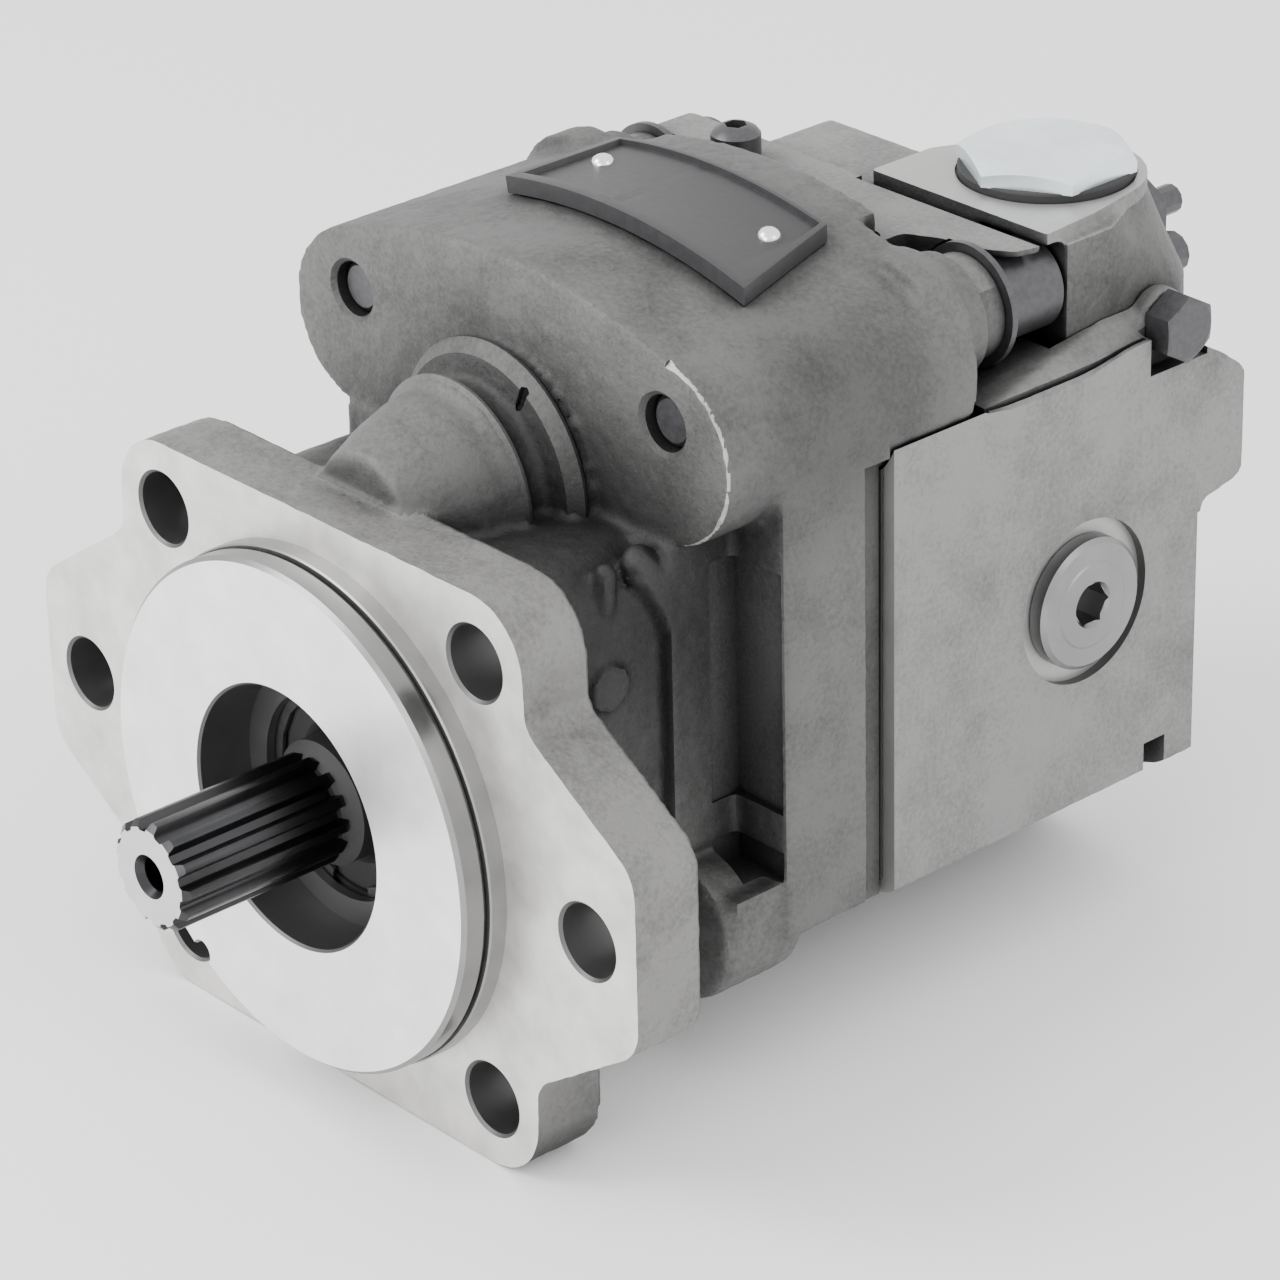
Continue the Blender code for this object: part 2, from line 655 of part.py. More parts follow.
def build_control_body():
    high_x, high_y, high_z = CONTROL_HI
    notch = [(NOTCH_LEFT, NOTCH_BACK), (high_x, NOTCH_BACK), (high_x, 154)]
    slab = [(42, CONTROL_LO[1]), (51.2, CONTROL_LO[1]), (50, 152)]
    levels = ((CONTROL_LO[2], notch, 27), (67, notch, 27), (77, notch, 22.5), (SLAB_Z - 0.2, notch, 19.2),
              (SLAB_Z, slab, 19.5), (high_z, slab, 19.5))
    body = add_part("control_valve_body",
                    stacked([(z, control_outline(corner, radius)) for z, corner, radius in levels]),
                    "cast_iron")
    spool_bore = [(0, high_y + 2), (7.3, high_y + 2), (7.3, 168), (SPOOL_BORE_R, 168),
                  (SPOOL_BORE_R, 141), (0, 141)]
    cap_bore = [(0, high_z + 2), (11.3, high_z + 2), (11.3, high_z - 9), (0, high_z - 9)]
    cut(
        body,
        turned_tool(spool_bore, at=(SPOOL_X, 0, SPOOL_Z), segments=16),
        turned_tool(cap_bore, at=(CAP_X, CAP_Y, 0), segments=20, axis="Z"))
    for x in SCREW_X:
        cut(body, add_tool(rod(SCREW_R + GAP, TOP_BACK, high_y + 4, at=(x, SCREW_Z), segments=10)))


# ---------------------------------------------------------------- fittings

def build_plugs():
    for side, name in ((1, "side_plug_right"), (-1, "side_plug_left")):
        seat = BODY_HALF_WIDTH - SPOTFACE_DEPTH + GAP
        profile = [(0, 62.2), (12.7, 62.2), (13.5, 61.4), (13.5, seat), (9.4, seat),
                   (9.4, 47), (0, 47)]
        plug = turned_part(name, profile, "zinc_steel", segments=16, axis="Z")
        cut(plug, add_tool(plate(hexagon(8), 56, 66, "Z")))
        plug.matrix_world = Matrix.Translation(Vector((0, PLUG_Y, PLUG_Z)) * MM) @ Matrix.Rotation(
            side * math.pi / 2, 4, "Y")
    cap_profile = [(0, TOP_Z + GAP), (11, TOP_Z + GAP), (11, TOP_Z - 8), (0, TOP_Z - 8)]
    cap = turned_part("control_cap", cap_profile, "zinc_steel", at=(CAP_X, CAP_Y, 0), segments=16, axis="Z")
    head = plate(hexagon(CAP_AF), TOP_Z + GAP - 0.1, TOP_Z + GAP + CAP_HEIGHT, "Z")
    flange = rod(17.2, TOP_Z + GAP - 0.15, TOP_Z + GAP + 1.2, "Z", segments=24)
    join(cap, add_tool(flange), add_tool(head))
    build_gauge_plug()
    vent = turned_part("vent_plug", [(0, TOP_Z + 6.5), (4.2, TOP_Z + 6.5), (5, TOP_Z + 5.5),
                                     (5, TOP_Z + GAP), (0, TOP_Z + GAP)],
                       "dark_steel", at=(-20, 124.5, 0), segments=12, axis="Z")
    cut(vent, add_tool(plate(hexagon(4), TOP_Z + 4, TOP_Z + 8, "Z")))


def build_gauge_plug():
    """Small hexagon plug in the notch of the right-hand shoulder, pointing outwards."""
    head = plate(hexagon(12, (GAUGE_Y, GAUGE_Z)), 56.7, 62.7, "X")
    plug = add_part("gauge_plug", head, "dark_steel")
    join(plug, add_tool(rod(4.0, 53.2, 58, "X", at=(GAUGE_Y, GAUGE_Z), segments=12)))


def build_adjuster():
    back = CONTROL_HI[1]
    at = (SPOOL_X, 0, SPOOL_Z)
    screw = [(0, back + 13), (2.4, back + 13), (3, back + 12.4), (3, back - 2), (6.9, back - 2),
             (6.9, back - 8), (0, back - 8)]
    turned_part("adjuster_screw", screw, "ground_steel", at=at, segments=12)
    nut = add_part("adjuster_nut", plate(hexagon(10.5), back + GAP, back + 5.3), "dark_steel")
    nut.location = Vector(at) * MM
    cut(nut, add_tool(rod(3.4, back - 1, back + 8, segments=12)))


def build_control_screws():
    for number, x in enumerate(SCREW_X, start=1):
        seat = CONTROL_HI[1] + GAP
        profile = [(0, seat + 5), (3.8, seat + 5), (4.2, seat + 4.6), (4.2, seat), (SCREW_R, seat),
                   (SCREW_R, SCREW_TIP), (0, SCREW_TIP)]
        screw = turned_part(f"control_screw_{number}", profile, "dark_steel", at=(x, 0, SCREW_Z), segments=12)
        socket = plate(hexagon(4), seat + 2.5, seat + 8, "Z")
        cut(screw, add_tool(socket))


def build_housing_bolts():
    places = ((-BOLT_X, BOLT_Z, BOLT_SEAT), (BOLT_X, BOLT_Z, BOLT_SEAT),
              (-LOW_BOLT_X, LOW_BOLT_Z, LOW_BOLT_SEAT), (LOW_BOLT_X, LOW_BOLT_Z, LOW_BOLT_SEAT))
    for number, (x, z, seat) in enumerate(places, start=1):
        seat += GAP
        top = seat + BOLT_HEAD_LENGTH
        head = [(BOLT_HEAD_R, seat)]
        head_r = BOLT_HEAD_R
        if z > 0:
            top = seat + TOP_HEAD_LENGTH
            head_r = TOP_HEAD_R
            head = [(TOP_HEAD_R, seat + 2), (TOP_FLANGE_R, seat + 2), (TOP_FLANGE_R, seat)]
        profile = [(0, top), (head_r - 0.6, top), (head_r, top - 0.6)] + head + [
            (BOLT_R, seat), (BOLT_R, BOLT_TIP + 1), (BOLT_R - 1, BOLT_TIP), (0, BOLT_TIP)]
        bolt = turned_part(f"housing_bolt_{number}", profile, "dark_steel", at=(x, 0, z), segments=12)
        cut(bolt, add_tool(plate(hexagon(8), top - 5, top + 2, "Z")))


def build_name_plate():
    """Curved plate on top of the arch, with a raised rim and two rivets."""
    centre_z = arch_centre_z()
    inner = ARCH_TOP - centre_z + GAP
    front, back = 70.5, 98.8
    left, right = 100.5, 72.5
    outline = arc((0, centre_z), inner + 3.6, right, left, 10) + arc((0, centre_z), inner, left, right, 10)
    label = add_part("name_plate", plate(outline, front, back), "black_label")
    tray = arc((0, centre_z), inner + 6, right + 0.9, left - 0.9, 10)
    tray += arc((0, centre_z), inner + 2.4, left - 0.9, right + 0.9, 10)
    recess = add_tool(plate(tray, front + 2.2, back - 1.6))
    for solid, inset in ((recess, 1.6), (label, 0)):
        slant = [(40.6 - inset, front - 1), (32.0 - inset, back + 1), (60, back + 1), (60, front - 1)]
        cut(solid, add_tool(plate(slant, 70, 110, "Z")))
    cut(label, recess)
    for number, angle in enumerate((78.3, 97.2), start=1):
        turn = math.radians(90 - angle)
        top = inner + 2.4 + GAP
        rivet = turned_part(f"name_plate_rivet_{number}",
                            [(0, top + 1.4), (1.4, top + 1.1), (2.2, top), (0, top)],
                            "zinc_steel", segments=12, axis="Z")
        rivet.matrix_world = (Matrix.Translation(Vector((0, 87.8, centre_z)) * MM)
                              @ Matrix.Rotation(turn, 4, "Y"))


# ---------------------------------------------------------------- shaft and bearings

def build_shaft():
    profile = [(0, 153), (TAIL_R, 153), (TAIL_R, 136.5), (12, 136.5), (12, 104), (SHAFT_R, 104),
               (SHAFT_R, 40), (17.5, 40), (17.5, 34.3), (SEAT_R, 34.3), (SEAT_R, 15), (12.4, 15),
               (12.4, -1), (SPLINE_ROOT_R, -2), (SPLINE_ROOT_R, -40), (0, -40)]
    shaft = turned_part("drive_shaft", profile, "dark_steel", segments=24)
    teeth = []
    for i in range(SPLINE_TEETH):
        for share, radius in ((-0.30, SPLINE_ROOT_R + 0.1), (-0.17, SPLINE_TIP_R),
                              (0.17, SPLINE_TIP_R), (0.30, SPLINE_ROOT_R + 0.1)):
            angle = 2 * math.pi * (i + share) / SPLINE_TEETH
            teeth.append((radius * math.cos(angle), radius * math.sin(angle)))
    join(shaft, add_tool(plate(teeth, SHAFT_END, SPLINE_BACK + 1, "Z")))
    cut(shaft, turned_tool([(0, -27), (4.3, -30), (4.3, -42), (0, -42)], segments=16, axis="Z"))


def build_shaft_parts():
    turned_part("shaft_seal", [(20.5, 15.6), (20.5, 6.1), (12.8, 6.1), (12.8, 9), (17.5, 10),
                               (17.5, 15.6)], "rubber", ring=True, segments=20)
    ring = arc((0, 0), 22.0, -75, 255, 18) + arc((0, 0), 19.0, 255, -75, 18)
    add_part("seal_snap_ring", plate(ring, 4.7, 5.5), "spring_steel")
    turned_part("front_bearing_inner", [(20, 33.6), (20, 16.3), (15.3, 16.3), (15.3, 33.6)],
                "ground_steel", ring=True)
    turned_part("front_bearing_outer", [(31, 33.6), (31, 16.3), (27.3, 16.3), (27.3, 33.6)],
                "ground_steel", ring=True)
    cage = turned_part("front_bearing_rollers", [(24.6, 31), (24.6, 19), (22.4, 19), (22.4, 31)],
                       "ground_steel", ring=True)
    for i in range(10):
        angle = 2 * math.pi * (i + 0.5) / 10
        at = (23.65 * math.cos(angle), 23.65 * math.sin(angle))
        join(cage, add_tool(rod(3.2, 19.8, 30.2, "Z", at=at, segments=8)))
    turned_part("rear_bearing", [(14, 152), (14, 138.4), (10.4, 138.4), (10.4, 152)],
                "ground_steel", ring=True)


def build_barrel():
    profile = [(BARREL_R, BARREL_BACK), (BARREL_R, BARREL_FRONT + 1), (BARREL_R - 1, BARREL_FRONT),
               (13.4, BARREL_FRONT), (13.4, 104), (16.6, 104), (16.6, 127), (17.4, 127),
               (17.4, 128.6), (16.6, 128.6), (16.6, BARREL_BACK)]
    barrel = turned_part("cylinder_barrel", profile, "ground_steel", ring=True, segments=28)
    for i in range(PISTON_COUNT):
        angle = piston_angle(i)
        at = (BORE_PITCH_R * math.cos(angle), -BORE_PITCH_R * math.sin(angle))
        cut(barrel, add_tool(rod(BORE_R, BARREL_FRONT - 2, 127, "Z", at=at, segments=12)),
            add_tool(rod(4.2, 125, BARREL_BACK + 2, "Z", at=at, segments=6)))
    coil("barrel_spring", 14.9, 1.2, 4.5, 104.4, 126.4, (0, 0), 8)
    ring = arc((0, 0), 17.1, -70, 250, 14) + arc((0, 0), 13.2, 250, -70, 14)
    add_part("barrel_spring_ring", plate(ring, 127.3, 128.3), "spring_steel")


def piston_angle(index):
    return math.pi / 2 + 2 * math.pi * index / PISTON_COUNT


def build_ball_guide():
    reach = 15.8
    profile = [(15.2, 92.6), (15.2, 84.3)]
    for i in range(6):
        height = 84.0 - i * 2.1
        profile.append((math.sqrt(reach ** 2 - (height - PIVOT_Y) ** 2), height))
    profile += [(13.35, 73.5), (13.35, 92.6)]
    turned_part("ball_guide", profile, "ground_steel", ring=True, segments=20)


def kidney(start, end, pitch, half_width):
    outer = arc((0, 0), pitch + half_width, start, end, 8)
    inner = arc((0, 0), pitch - half_width, end, start, 8)
    return outer + inner


def build_valve_plate():
    plate_part = add_part("valve_plate", rod(38.5, 134.3, 137.7, segments=28), "bronze")
    cut(
        plate_part,
        add_tool(rod(17.5, 130, 142, segments=20)),
        add_tool(plate(kidney(-62, 62, BORE_PITCH_R, 3.8), 130, 142)),
        add_tool(plate(kidney(118, 242, BORE_PITCH_R, 3.8), 130, 142)))


# ---------------------------------------------------------------- swash group

def build_swashplate():
    """Disc with two cradle journals and a control arm, about its own pivot."""
    swash = add_part("swashplate", rod(SWASH_R, SWASH_BACK, SWASH_FACE, segments=32), "ground_steel")
    half = math.degrees(math.acos(-(SWASH_BACK + 1) / JOURNAL_R))
    segment = arc((0, 0), JOURNAL_R, 180 - half, 180 + half, 10)
    for side in (-1, 1):
        low_x, high_x = sorted((side * JOURNAL_X[0], side * JOURNAL_X[1]))
        join(swash, add_tool(plate(segment, low_x, high_x, "X")))
    web = [(SWASH_BACK, 28), (SWASH_FACE - 0.2, 28), (SWASH_FACE - 0.2, 37.5), (-3.8, 40), (-3.8, 48),
           (-3.6, ARM_TIP), (-11.8, ARM_TIP), (-11.2, 50), (-9.2, 41.5), (SWASH_BACK, 38)]
    join(
        swash,
        add_tool(plate(web, -7.5, 7.5, "X")),
        add_tool(rod(ARM_PAD_R, -7.4, 7.4, "X", at=(ARM_DEPTH, ARM_TIP), segments=16)))
    slot = arc((0, 19.5 - 14.2), 14.2, 0, 180, 9) + arc((0, 14.2 - 19.5), 14.2, 180, 360, 9)
    cut(swash, add_tool(plate(slot, SWASH_BACK - 12, SWASH_FACE + 2)))
    tilt_with_swash(swash)


def build_cradle_bearings():
    low_angle, high_angle = 180 - 40, 180 + 30
    shell = arc((PIVOT_Y, 0), JOURNAL_R + 2.3, low_angle, high_angle, 8)
    shell += arc((PIVOT_Y, 0), JOURNAL_R + 0.3, high_angle, low_angle, 8)
    for side, name in ((-1, "cradle_bearing_left"), (1, "cradle_bearing_right")):
        low_x, high_x = sorted((side * (JOURNAL_X[0] + 1), side * (JOURNAL_X[1] - 1)))
        add_part(name, plate(shell, low_x, high_x, "X"), "bronze")


def build_retainer():
    """Plate that holds the slippers down on the swashplate."""
    holes = [arc((0, 0), 16.5, 0, 345, 23)]
    for i in range(PISTON_COUNT):
        angle = piston_angle(i)
        centre = (BALL_PITCH_R * math.cos(angle), BALL_PITCH_R * math.sin(angle))
        holes.append(arc(centre, 7.2, 0, 330, 11))
    rim = arc((0, 0), 37.0, 0, 348.75, 31)
    retainer = add_part("retainer_plate", plate(rim, -3.8, -1.2, holes=holes), "spring_steel")
    tilt_with_swash(retainer)


def build_pistons_and_slippers():
    ball = [(BALL_R * math.cos(math.radians(a)), BALL_R * math.sin(math.radians(a)))
            for a in (45, 15, -15, -45)]
    piston_profile = [(0, PISTON_LENGTH), (PISTON_R - 0.8, PISTON_LENGTH), (PISTON_R, PISTON_LENGTH - 0.8),
                      (PISTON_R, 7.6), (PISTON_R - 1, 6.8), (3.4, 6.2)] + ball + [(0, -BALL_R)]
    socket_r = BALL_R + 0.5
    socket = [(socket_r * math.cos(math.radians(a)), socket_r * math.sin(math.radians(a)))
              for a in (-45, -12, 22)]
    slipper_profile = [(0, -socket_r)] + socket + [(6.6, 2.0), (6.6, -4.1), (SLIPPER_R, -4.4),
                                                   (SLIPPER_R, -SLIPPER_FOOT), (0, -SLIPPER_FOOT)]
    for i in range(PISTON_COUNT):
        point = swash_point(piston_angle(i), BALL_PITCH_R)
        turned_part(f"piston_{i + 1}", piston_profile, "ground_steel", at=point, segments=12)
        slipper = turned_part(f"slipper_{i + 1}", slipper_profile, "bronze", segments=12)
        slipper.matrix_world = (Matrix.Translation(point * MM) @ Matrix.Rotation(-TILT, 4, "X")
                                @ axis_matrix("Y"))


def build_control_gear():
    """Control piston, bias spring and compensator spool."""
    arm_y = PIVOT_Y + ARM_DEPTH * math.cos(TILT) + ARM_TIP * math.sin(TILT)
    face = arm_y + ARM_PAD_R + GAP
    piston = [(0, face + 44), (8, face + 44), (8, face + 7), (7, face + 6), (7, face), (0, face)]
    turned_part("control_piston", piston, "ground_steel", at=(0, 0, BIAS_Z), segments=16)
    seat = arm_y - ARM_PAD_R - GAP
    turned_part("bias_spring_seat", [(0, seat), (11.4, seat), (11.4, seat - 3), (6.5, seat - 3),
                                     (6.5, seat - 7), (0, seat - 7)],
                "ground_steel", at=(0, 0, BIAS_Z), segments=16)
    coil("bias_spring", 9.6, 1.4, 7, BIAS_BORE_FRONT + 0.4, seat - 3.4, (0, BIAS_Z), 8)
    spool = [(0, 165.5), (SPOOL_R, 165.5), (SPOOL_R, 158), (2.6, 157), (2.6, 151), (SPOOL_R, 150),
             (SPOOL_R, 145), (0, 145)]
    turned_part("compensator_spool", spool, "ground_steel", at=(SPOOL_X, 0, SPOOL_Z), segments=12)
    coil("spool_spring", 2.9, 0.55, 5, 166, 176.1, (SPOOL_X, SPOOL_Z), 8)


def build_gasket():
    """Thin gasket in the joint between the two castings."""
    lobe_edge = [(23.5, 75)] + arc((LOBE_X, LOBE_Z), LOBE_POCKET_R, -161, -40, 6)
    belly = belly_outline(RECESS_HALF_WIDTH, SIDE_BOTTOM + 1, 0)
    outline = lobe_edge + belly[1:-1] + mirrored(lobe_edge)
    holes = [keyhole(CHAMBER_R + 0.5, BIAS_BORE_R + 0.5, ARM_SLOT_HALF_WIDTH + GAP)]
    for side in (-1, 1):
        holes.append(arc((side * LOW_BOLT_X, LOW_BOLT_Z), BOLT_HOLE_R, 0, 330, 11))
    add_part("housing_gasket", plate(outline, BODY_BACK + GAP, BLOCK_FRONT - GAP, holes=holes), "rubber")


clear_scene()
PARTS = new_collection("axial_piston_pump")
TOOLS = new_collection("cutters")
build_front_housing()
build_rear_block()
build_control_body()
build_plugs()
build_adjuster()
build_control_screws()
build_housing_bolts()
build_name_plate()
build_shaft()
build_shaft_parts()
build_barrel()
build_ball_guide()
build_valve_plate()
build_swashplate()
build_cradle_bearings()
build_retainer()
build_pistons_and_slippers()
build_control_gear()
build_gasket()
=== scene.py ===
"""Looks of the axial piston pump: castings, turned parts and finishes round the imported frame.

Lengths below are in millimetres in the frame's own axes: +Y runs from the mounting
face to the rear, +Z is up, +X is the side with the control body.
"""
import math

import bmesh
import bpy
from mathutils import Matrix, Vector, noise


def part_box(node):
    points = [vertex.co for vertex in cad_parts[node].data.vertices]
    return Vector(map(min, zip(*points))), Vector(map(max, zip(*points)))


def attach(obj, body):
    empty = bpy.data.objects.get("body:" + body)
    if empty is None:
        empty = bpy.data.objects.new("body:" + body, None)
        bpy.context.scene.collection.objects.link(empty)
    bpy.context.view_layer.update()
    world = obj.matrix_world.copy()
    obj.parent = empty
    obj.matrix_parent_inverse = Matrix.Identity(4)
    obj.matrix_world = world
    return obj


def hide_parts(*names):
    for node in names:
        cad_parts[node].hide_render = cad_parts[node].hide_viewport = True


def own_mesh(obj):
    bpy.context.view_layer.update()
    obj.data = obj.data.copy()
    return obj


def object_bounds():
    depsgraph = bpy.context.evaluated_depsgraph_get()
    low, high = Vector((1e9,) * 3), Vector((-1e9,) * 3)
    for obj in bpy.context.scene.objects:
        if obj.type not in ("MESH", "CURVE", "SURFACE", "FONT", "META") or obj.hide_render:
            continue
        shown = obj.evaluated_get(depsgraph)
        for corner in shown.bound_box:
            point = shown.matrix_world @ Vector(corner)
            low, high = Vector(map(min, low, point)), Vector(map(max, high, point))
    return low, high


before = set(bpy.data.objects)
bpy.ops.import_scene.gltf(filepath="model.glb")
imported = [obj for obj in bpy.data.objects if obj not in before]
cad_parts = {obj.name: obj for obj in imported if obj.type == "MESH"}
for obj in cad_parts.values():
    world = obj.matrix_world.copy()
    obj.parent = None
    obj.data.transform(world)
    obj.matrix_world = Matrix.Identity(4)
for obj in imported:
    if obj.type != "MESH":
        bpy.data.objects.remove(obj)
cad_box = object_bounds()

MM = 0.001
VOXEL = 0.9                  # grid of the cast skins
SMOOTHING = 4                # rounds of smoothing that make the cast fillets
SHARP_ANGLE = 32             # degrees beyond which an edge is shaded sharp

PILOT_R = 50.8
RECESS_R = 26.0
FLANGE_BACK = 15.5
FLANGE_HOLE_R = 7.15
FLANGE_HOLES = ((73, 0), (-73, 0), (44.9, 44.9), (-44.9, 44.9), (44.9, -44.9), (-44.9, -44.9))
HEAD_FRONT = 46.6
BODY_BACK = 87.7
LOBE_BACK = 110.0
ARCH_BACK = 115.0
BOSS_R, BOSS_BACK = 12.3, 116.9
EAR_R = 10.5
BOLT_SEAT = 123.6
POCKET_FLOOR = 64.0
POCKET_BACK = 62.2
BLOCK_FRONT = 88.8
BLOCK_BACK = 172.0
BROW_BACK = 184.5
BOLT_X, BOLT_Z = 43.8, 75.7
LOW_BOLT_X, LOW_BOLT_Z = 40.0, -29.0
LOBE_X, LOBE_Z, LOBE_R = 43.0, 70.0, 18.0
STEP_Z = 76.3
BIAS_Z = 55.0
CHAMBER_R = 41.5
PLUG_Y, PLUG_Z = 140.3, 13.6
CAP_AT = (28.4, 161.0)       # x and y of the hexagon cap
SPOOL_AT = (28.4, 72.0)      # x and z of the compensator spool
GAUGE_AT = (165.5, 63.5)     # y and z of the small hexagon plug
SCREWS = (10.5, 36.2)        # x of the two screws of the control body

CAMERA_TURNS = (48.542, 26.709, -1.429)      # azimuth, elevation and roll in degrees
CAMERA_OFFSETS = (58.273, 29.870, 966.46)    # to the right, up and back from the frame's origin
CAMERA_LENS = 146.44


# ---------------------------------------------------------------- meshes

def place(axis, across, up, along):
    if axis == "X":
        return Vector((along, across, up))
    if axis == "Y":
        return Vector((across, along, up))
    return Vector((across, up, along))


def arc(centre, radius, start, end, steps):
    """Points on an arc, ends included; the angles are in degrees."""
    points = []
    for i in range(steps + 1):
        angle = math.radians(start + (end - start) * i / steps)
        points.append((centre[0] + radius * math.cos(angle), centre[1] + radius * math.sin(angle)))
    return points


def prism(outline, start, end, axis="Y"):
    """Solid between two copies of an outline."""
    bm = bmesh.new()
    near = [bm.verts.new(place(axis, a, b, start)) for a, b in outline]
    far = [bm.verts.new(place(axis, a, b, end)) for a, b in outline]
    bm.faces.new(near)
    bm.faces.new(list(reversed(far)))
    for i, point in enumerate(near):
        after = (i + 1) % len(near)
        bm.faces.new((point, far[i], far[after], near[after]))
    bmesh.ops.recalc_face_normals(bm, faces=bm.faces)
    return bm


def box(low, high):
    bm = bmesh.new()
    centre = (Vector(low) + Vector(high)) / 2
    size = Vector(high) - Vector(low)
    bmesh.ops.create_cube(bm, size=1.0, matrix=Matrix.Translation(centre) @ Matrix.Diagonal((*size, 1.0)))
    return bm


def lathe(profile, axis="Y", at=(0, 0), segments=96):
    """Solid of revolution; points are (radius, along), and a ring's profile is closed."""
    bm = bmesh.new()
    rings = []
    for radius, along in profile:
        if radius == 0:
            rings.append([bm.verts.new(place(axis, at[0], at[1], along))])
            continue
        ring = []
        for i in range(segments):
            angle = 2 * math.pi * i / segments
            ring.append(bm.verts.new(place(axis, at[0] + radius * math.cos(angle),
                                           at[1] + radius * math.sin(angle), along)))
        rings.append(ring)
    pairs = list(zip(rings, rings[1:]))
    if profile[0][0] != 0 and profile[-1][0] != 0:
        pairs.append((rings[-1], rings[0]))
    for first, second in pairs:
        for i in range(segments):
            after = (i + 1) % segments
            if len(first) == 1:
                bm.faces.new((first[0], second[after], second[i]))
            elif len(second) == 1:
                bm.faces.new((first[i], first[after], second[0]))
            else:
                bm.faces.new((first[i], first[after], second[after], second[i]))
    bmesh.ops.recalc_face_normals(bm, faces=bm.faces)
    return bm


def rod(radius, start, end, axis="Y", at=(0, 0), segments=64, chamfer=0.0):
    """Cylinder with optional chamfers."""
    if chamfer == 0:
        return lathe([(0, start), (radius, start), (radius, end), (0, end)], axis, at, segments)
    profile = [(0, start), (radius - chamfer, start), (radius, start + chamfer), (radius, end - chamfer),
               (radius - chamfer, end), (0, end)]
    return lathe(profile, axis, at, segments)


def hole(radius, start, end, at, chamfer=0.6, segments=48):
    """Cutter for a hole along Y whose mouth at start is chamfered."""
    profile = [(0, start - 1), (radius + chamfer + 1, start - 1), (radius + chamfer, start),
               (radius, start + chamfer), (radius, end), (0, end)]
    return lathe(profile, "Y", at, segments)


def hull(points):
    """Convex body round the points."""
    bm = bmesh.new()
    for point in points:
        bm.verts.new(point)
    bmesh.ops.convex_hull(bm, input=bm.verts)
    loose = [vertex for vertex in bm.verts if not vertex.link_faces]
    bmesh.ops.delete(bm, geom=loose, context="VERTS")
    return bm


def stacked(levels):
    """Solid through plans at rising heights; every plan has the same number of points."""
    bm = bmesh.new()
    rings = [[bm.verts.new((x, y, z)) for x, y in outline] for z, outline in levels]
    bm.faces.new(rings[0])
    bm.faces.new(rings[-1])
    for low, high in zip(rings, rings[1:]):
        for i in range(len(low)):
            after = (i + 1) % len(low)
            bm.faces.new((low[i], low[after], high[after], high[i]))
    bmesh.ops.triangulate(bm, faces=bm.faces)
    bmesh.ops.recalc_face_normals(bm, faces=bm.faces)
    return bm


def moved(bm, matrix):
    bm.transform(matrix)
    return bm


def mesh_object(name, shapes):
    """One object from one or more bmeshes, in metres."""
    joined = bmesh.new()
    for bm in shapes:
        part = bpy.data.meshes.new("part")
        bm.to_mesh(part)
        bm.free()
        joined.from_mesh(part)
        bpy.data.meshes.remove(part)
    joined.transform(Matrix.Scale(MM, 4))
    mesh = bpy.data.meshes.new(name)
    joined.to_mesh(mesh)
    joined.free()
    obj = bpy.data.objects.new(name, mesh)
    bpy.context.scene.collection.objects.link(obj)
    return obj


def apply_modifiers(obj):
    graph = bpy.context.evaluated_depsgraph_get()
    mesh = bpy.data.meshes.new_from_object(obj.evaluated_get(graph))
    obj.modifiers.clear()
    old = obj.data
    obj.data = mesh
    bpy.data.meshes.remove(old)


def combine(obj, shapes, operation):
    """Boolean each shape into the object and keep the result."""
    tools = [mesh_object("tool", [bm]) for bm in shapes]
    for tool in tools:
        step = obj.modifiers.new("combine", "BOOLEAN")
        step.operation = operation
        step.solver = "MANIFOLD"
        step.object = tool
    apply_modifiers(obj)
    for tool in tools:
        bpy.data.objects.remove(tool)


def cut(obj, *shapes):
    combine(obj, shapes, "DIFFERENCE")


def join(obj, *shapes):
    combine(obj, shapes, "UNION")


def cast_skin(obj, voxel=VOXEL, rounds=SMOOTHING):
    """Weld overlapping shapes into one skin with rounded edges and fillets."""
    weld = obj.modifiers.new("weld", "REMESH")
    weld.mode = "VOXEL"
    weld.voxel_size = voxel * MM
    weld.use_smooth_shade = True
    soften = obj.modifiers.new("soften", "SMOOTH")
    soften.factor = 0.5
    soften.iterations = rounds
    apply_modifiers(obj)


def roughen(obj, depth, grain):
    """Push the skin in and out a little, as sand casting leaves it."""
    mesh = obj.data
    normals = [vertex.normal.copy() for vertex in mesh.vertices]
    for vertex, normal in zip(mesh.vertices, normals):
        vertex.co += normal * (noise.noise(vertex.co / (grain * MM)) * depth * MM)


def shade(obj, angle=SHARP_ANGLE):
    """Smooth shading that stops at edges sharper than the angle; square flats stay flat."""
    bm = bmesh.new()
    bm.from_mesh(obj.data)
    limit = math.radians(angle)
    for face in bm.faces:
        face.smooth = max(abs(part) for part in face.normal) < 0.99995
    for edge in bm.edges:
        edge.smooth = len(edge.link_faces) == 2 and edge.calc_face_angle(0.0) < limit
    bm.to_mesh(obj.data)
    bm.free()


def give(obj, *finishes):
    obj.data.materials.clear()
    for finish in finishes:
        obj.data.materials.append(finish)


def paint_faces(obj, index, test):
    """Give a material to the faces whose centre and normal pass a test."""
    for face in obj.data.polygons:
        if test(face.center / MM, face.normal):
            face.material_index = index


def settle(obj, body, slot, *nodes):
    """Hide the nodes that the piece stands for and attach it to the body that it rides on; the slot is not
    used.
    """
    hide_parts(*nodes)
    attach(obj, body)


# ---------------------------------------------------------------- finishes

def node(tree, kind, **settings):
    made = tree.nodes.new(kind)
    for key, value in settings.items():
        made.inputs[key].default_value = value
    return made


